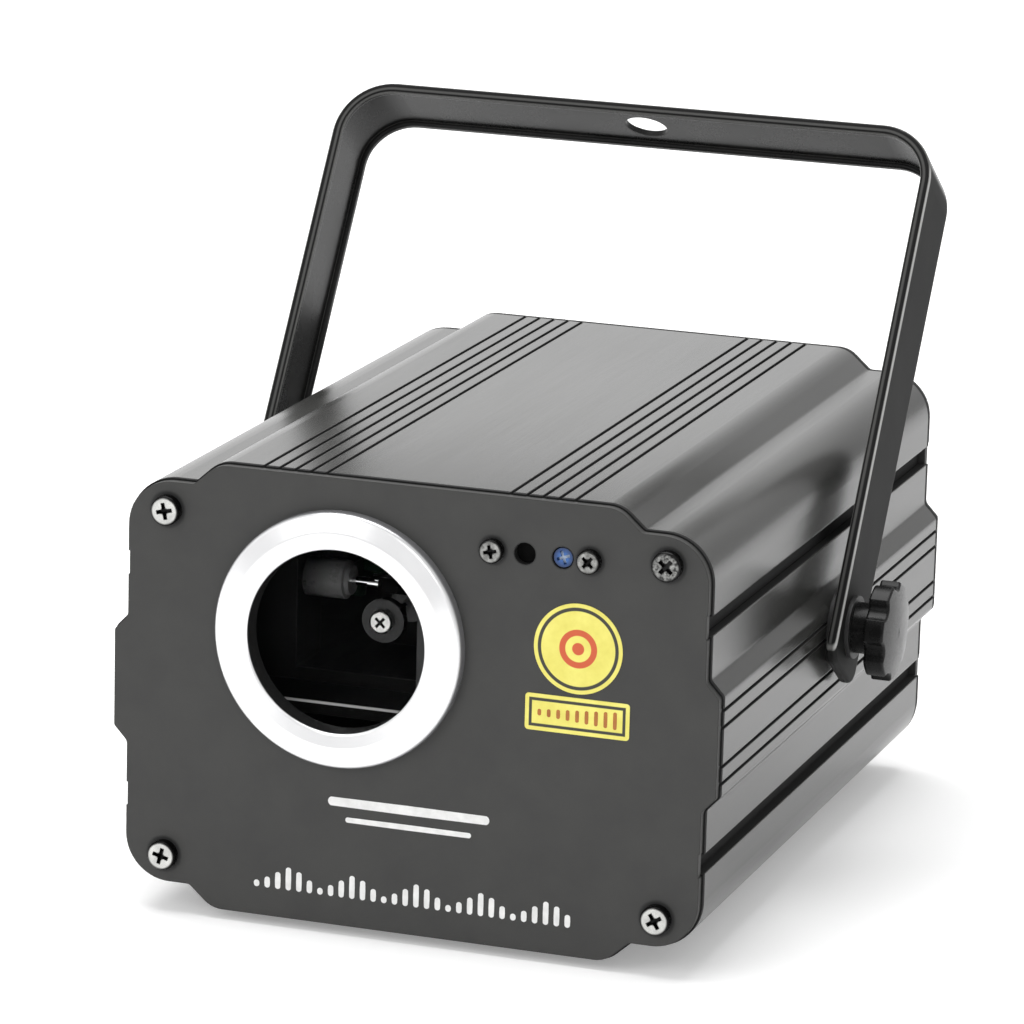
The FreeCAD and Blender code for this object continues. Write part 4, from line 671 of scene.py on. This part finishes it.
# bar and ring on the rocker
rockerMarks = {"out": 0.0050, "ring": 0.0017, "line": 0.0005, "bar": 0.0007, "thick": 0.00006, "sink": 0.00002,
               "start": 0.01}
solid = frame["nodes"]["switch_rocker"].data
rockerFace = BVHTree.FromPolygons([v.co for v in solid.vertices], [p.vertices for p in solid.polygons])
x, z = middleOf("switch_rocker")[0], middleOf("switch_frame")[1] - midZ
bm = bmesh.new()
stadium(bm, rockerMarks["bar"], rockerMarks["ring"] * 2, rockerMarks["thick"], onRear(x, z + rockerMarks["out"]))
disc = flatDisc(bm, rounding["ring"], rockerMarks["ring"])[1]
thicken(bm, onlyRim(bm, disc, rockerMarks["line"]), rockerMarks["thick"], onRear(x, z - rockerMarks["out"]))
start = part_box("switch_rocker")[1].y + rockerMarks["start"]
for v in bm.verts:
    # lays each point on the face of the rocker
    hit = rockerFace.ray_cast(Vector((v.co.x, start, v.co.z)), Vector((0, -1, 0)))[0]
    v.co.y += hit.y - rearY - rockerMarks["sink"]
finishPiece(bm, "rockerMarks", whiteInk, body="rocker")

# digits on the display; each bar has its place across and up, and 1 where it lies level
digits = {"count": 3, "pitch": 0.0088, "wide": 0.0042, "tall": 0.0084, "bar": 0.0009, "lean": 0.10,
          "thick": 0.00006, "levelShare": 0.82, "uprightShare": 0.42, "lit": ("abcdef", "abcdef", "bc"),
          "bars": {"a": (0, 1, 1), "b": (1, 0.5, 0), "c": (1, -0.5, 0), "d": (0, -1, 1), "e": (-1, -0.5, 0),
                   "f": (-1, 0.5, 0), "g": (0, 0, 1)}}
litLook = {"dark": (0.55, 0.02, 0.015), "light": (0.70, 0.03, 0.02), "scale": 800, "fineScale": 2500,
           "rough": (0.3, 0.4), "bump": 0.02, "depth": 0.00003,
           "set": {"Emission Color": (0.95, 0.05, 0.03, 1), "Emission Strength": 0.6}}
unlitLook = {**litLook, "dark": (0.040, 0.008, 0.008), "light": (0.055, 0.010, 0.010), "set": {}}
x, z = middleOf("display_module")
face = onRear(x, z - midZ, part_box("display_module")[1].y - rearY)
levelBar = (digits["wide"] * digits["levelShare"], digits["bar"])
uprightBar = (digits["bar"], digits["tall"] * digits["uprightShare"])
litMesh, darkMesh = bmesh.new(), bmesh.new()
for i in range(digits["count"]):
    shift = (i - (digits["count"] - 1) / 2) * digits["pitch"]
    for name, (across, up, level) in digits["bars"].items():
        z = up * digits["tall"] / 2
        place = face @ Matrix.Translation((shift + across * digits["wide"] / 2 + digits["lean"] * z, z, 0))
        bm = litMesh if name in digits["lit"][i] else darkMesh
        stadium(bm, *(levelBar if level else uprightBar), digits["thick"], place)
finishPiece(litMesh, "digitsLit", makeFinish("segmentLit", litLook))
finishPiece(darkMesh, "digitsDark", makeFinish("segmentDark", unlitLook))

# arrows under the buttons
arrows = {"sides": 3, "size": 0.0013, "drop": 0.0064, "thick": 0.00005, "turns": (90, -90, 0, 180)}
bm = bmesh.new()
for i, turn in enumerate(arrows["turns"]):
    x, z = middleOf("menu_button_" + str(i + 1))
    place = onRear(x, z - midZ - arrows["drop"]) @ Matrix.Rotation(math.radians(turn), 4, "Z")
    thicken(bm, flatDisc(bm, arrows["sides"], arrows["size"])[1], arrows["thick"], place)
finishPiece(bm, "buttonArrows", whiteInk)

# lines round the display and round the pair of sockets
panelLines = {"line": 0.00035, "corner": 0.002, "thick": 0.00005, "margin": 0.0018,
              "frames": (("display_module",), ("signal_in_socket", "signal_out_socket"))}
bm = bmesh.new()
for names in panelLines["frames"]:
    boxes = [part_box(name) for name in names]
    x0, x1 = min(b[0].x for b in boxes) - panelLines["margin"], max(b[1].x for b in boxes) + panelLines["margin"]
    z0, z1 = min(b[0].z for b in boxes) - panelLines["margin"], max(b[1].z for b in boxes) + panelLines["margin"]
    roundedPlate(bm, x1 - x0, z1 - z0, panelLines["corner"], panelLines["thick"],
                 onRear((x0 + x1) / 2, (z0 + z1) / 2 - midZ), panelLines["line"])
finishPiece(bm, "panelLines", whiteInk)
print("rear marks made")


def seenRays(tree):
    # the light path's outputs, and 1 where the camera sees a thing straight, mirrored or through glass
    rays = addNode(tree, "ShaderNodeLightPath").outputs
    return rays, larger(tree, rays["Is Camera Ray"], rays["Is Glossy Ray"], rays["Is Transmission Ray"])


# floor that carries on to white, with the object's own shadow on it
floorLook = {"size": 8.0, "cells": 8, "colour": (0.88, 0.88, 0.88, 1), "rough": 0.9, "lift": (0.26, 0.55),
             "fade": (0.35, 1.1)}
bm = bmesh.new()
bmesh.ops.create_grid(bm, x_segments=floorLook["cells"], y_segments=floorLook["cells"], size=floorLook["size"])
mesh = bpy.data.meshes.new("floor")
bm.to_mesh(mesh)
bm.free()
floor = bpy.data.objects.new("floor", mesh)
scene.collection.objects.link(floor)
mat, tree, shader = newFinish("floorPaper")
shader.inputs["Base Color"].default_value = floorLook["colour"]
shader.inputs["Roughness"].default_value = floorLook["rough"]
shader.inputs["Specular IOR Level"].default_value = 0.0
shader.inputs["Emission Color"].default_value = (1, 1, 1, 1)
seen = seenRays(tree)[1]
away = vectorMaths(tree, "LENGTH", objectCoords(tree))["Value"]
lift = mapRange(tree, away, *floorLook["fade"], *floorLook["lift"])
tree.links.new(times(tree, seen, lift), shader.inputs["Emission Strength"])
mesh.materials.append(mat)

# world: white to the camera, dimmer in front and brighter behind as a reflection, even as a light
worldLook = {"light": 0.62, "front": 0.40, "frontFrom": (-0.75, -0.10), "back": (1.45, 0.55),
             "backFrom": (0.4, 0.9), "sideFrom": (-0.35, 0.45)}
world = bpy.data.worlds.new("studio")
scene.world = world
world.use_nodes = True
tree = world.node_tree
tree.nodes["Background"].inputs["Color"].default_value = (1, 1, 1, 1)
rays, seen = seenRays(tree)
towards = axes(tree, addNode(tree, "ShaderNodeTexCoord").outputs["Generated"])
back = mapRange(tree, towards["X"], *worldLook["sideFrom"], *worldLook["back"])
front = mapRange(tree, towards["Y"], *worldLook["frontFrom"], worldLook["front"], 1.0)
mirrored = times(tree, front, mixValue(tree, ramp(tree, towards["Y"], *worldLook["backFrom"]), 1.0, back))
straight = mixValue(tree, rays["Is Camera Ray"], mirrored, 1.0)
level = mixValue(tree, seen, worldLook["light"], straight)
tree.links.new(level, tree.nodes["Background"].inputs["Strength"])

lamps = {"overhead": {"place": (-0.15, 0.05, 1.25), "size": 1.2, "power": 14.0},
         "frontLeft": {"place": (-0.7, -1.3, 0.9), "size": 0.9, "power": 5.0},
         "frontRight": {"place": (0.5, -1.5, 0.8), "size": 0.7, "power": 2.0}}
lampAim = Vector((0, 0, 0.05))
for name, lampLook in lamps.items():
    lamp = bpy.data.lights.new(name, "AREA")
    lamp.shape = "DISK"
    lamp.size = lampLook["size"]
    lamp.energy = lampLook["power"]
    holder = bpy.data.objects.new(name, lamp)
    scene.collection.objects.link(holder)
    holder.location = lampLook["place"]
    holder.rotation_euler = (lampAim - Vector(lampLook["place"])).to_track_quat("-Z", "Y").to_euler()
print("studio set")
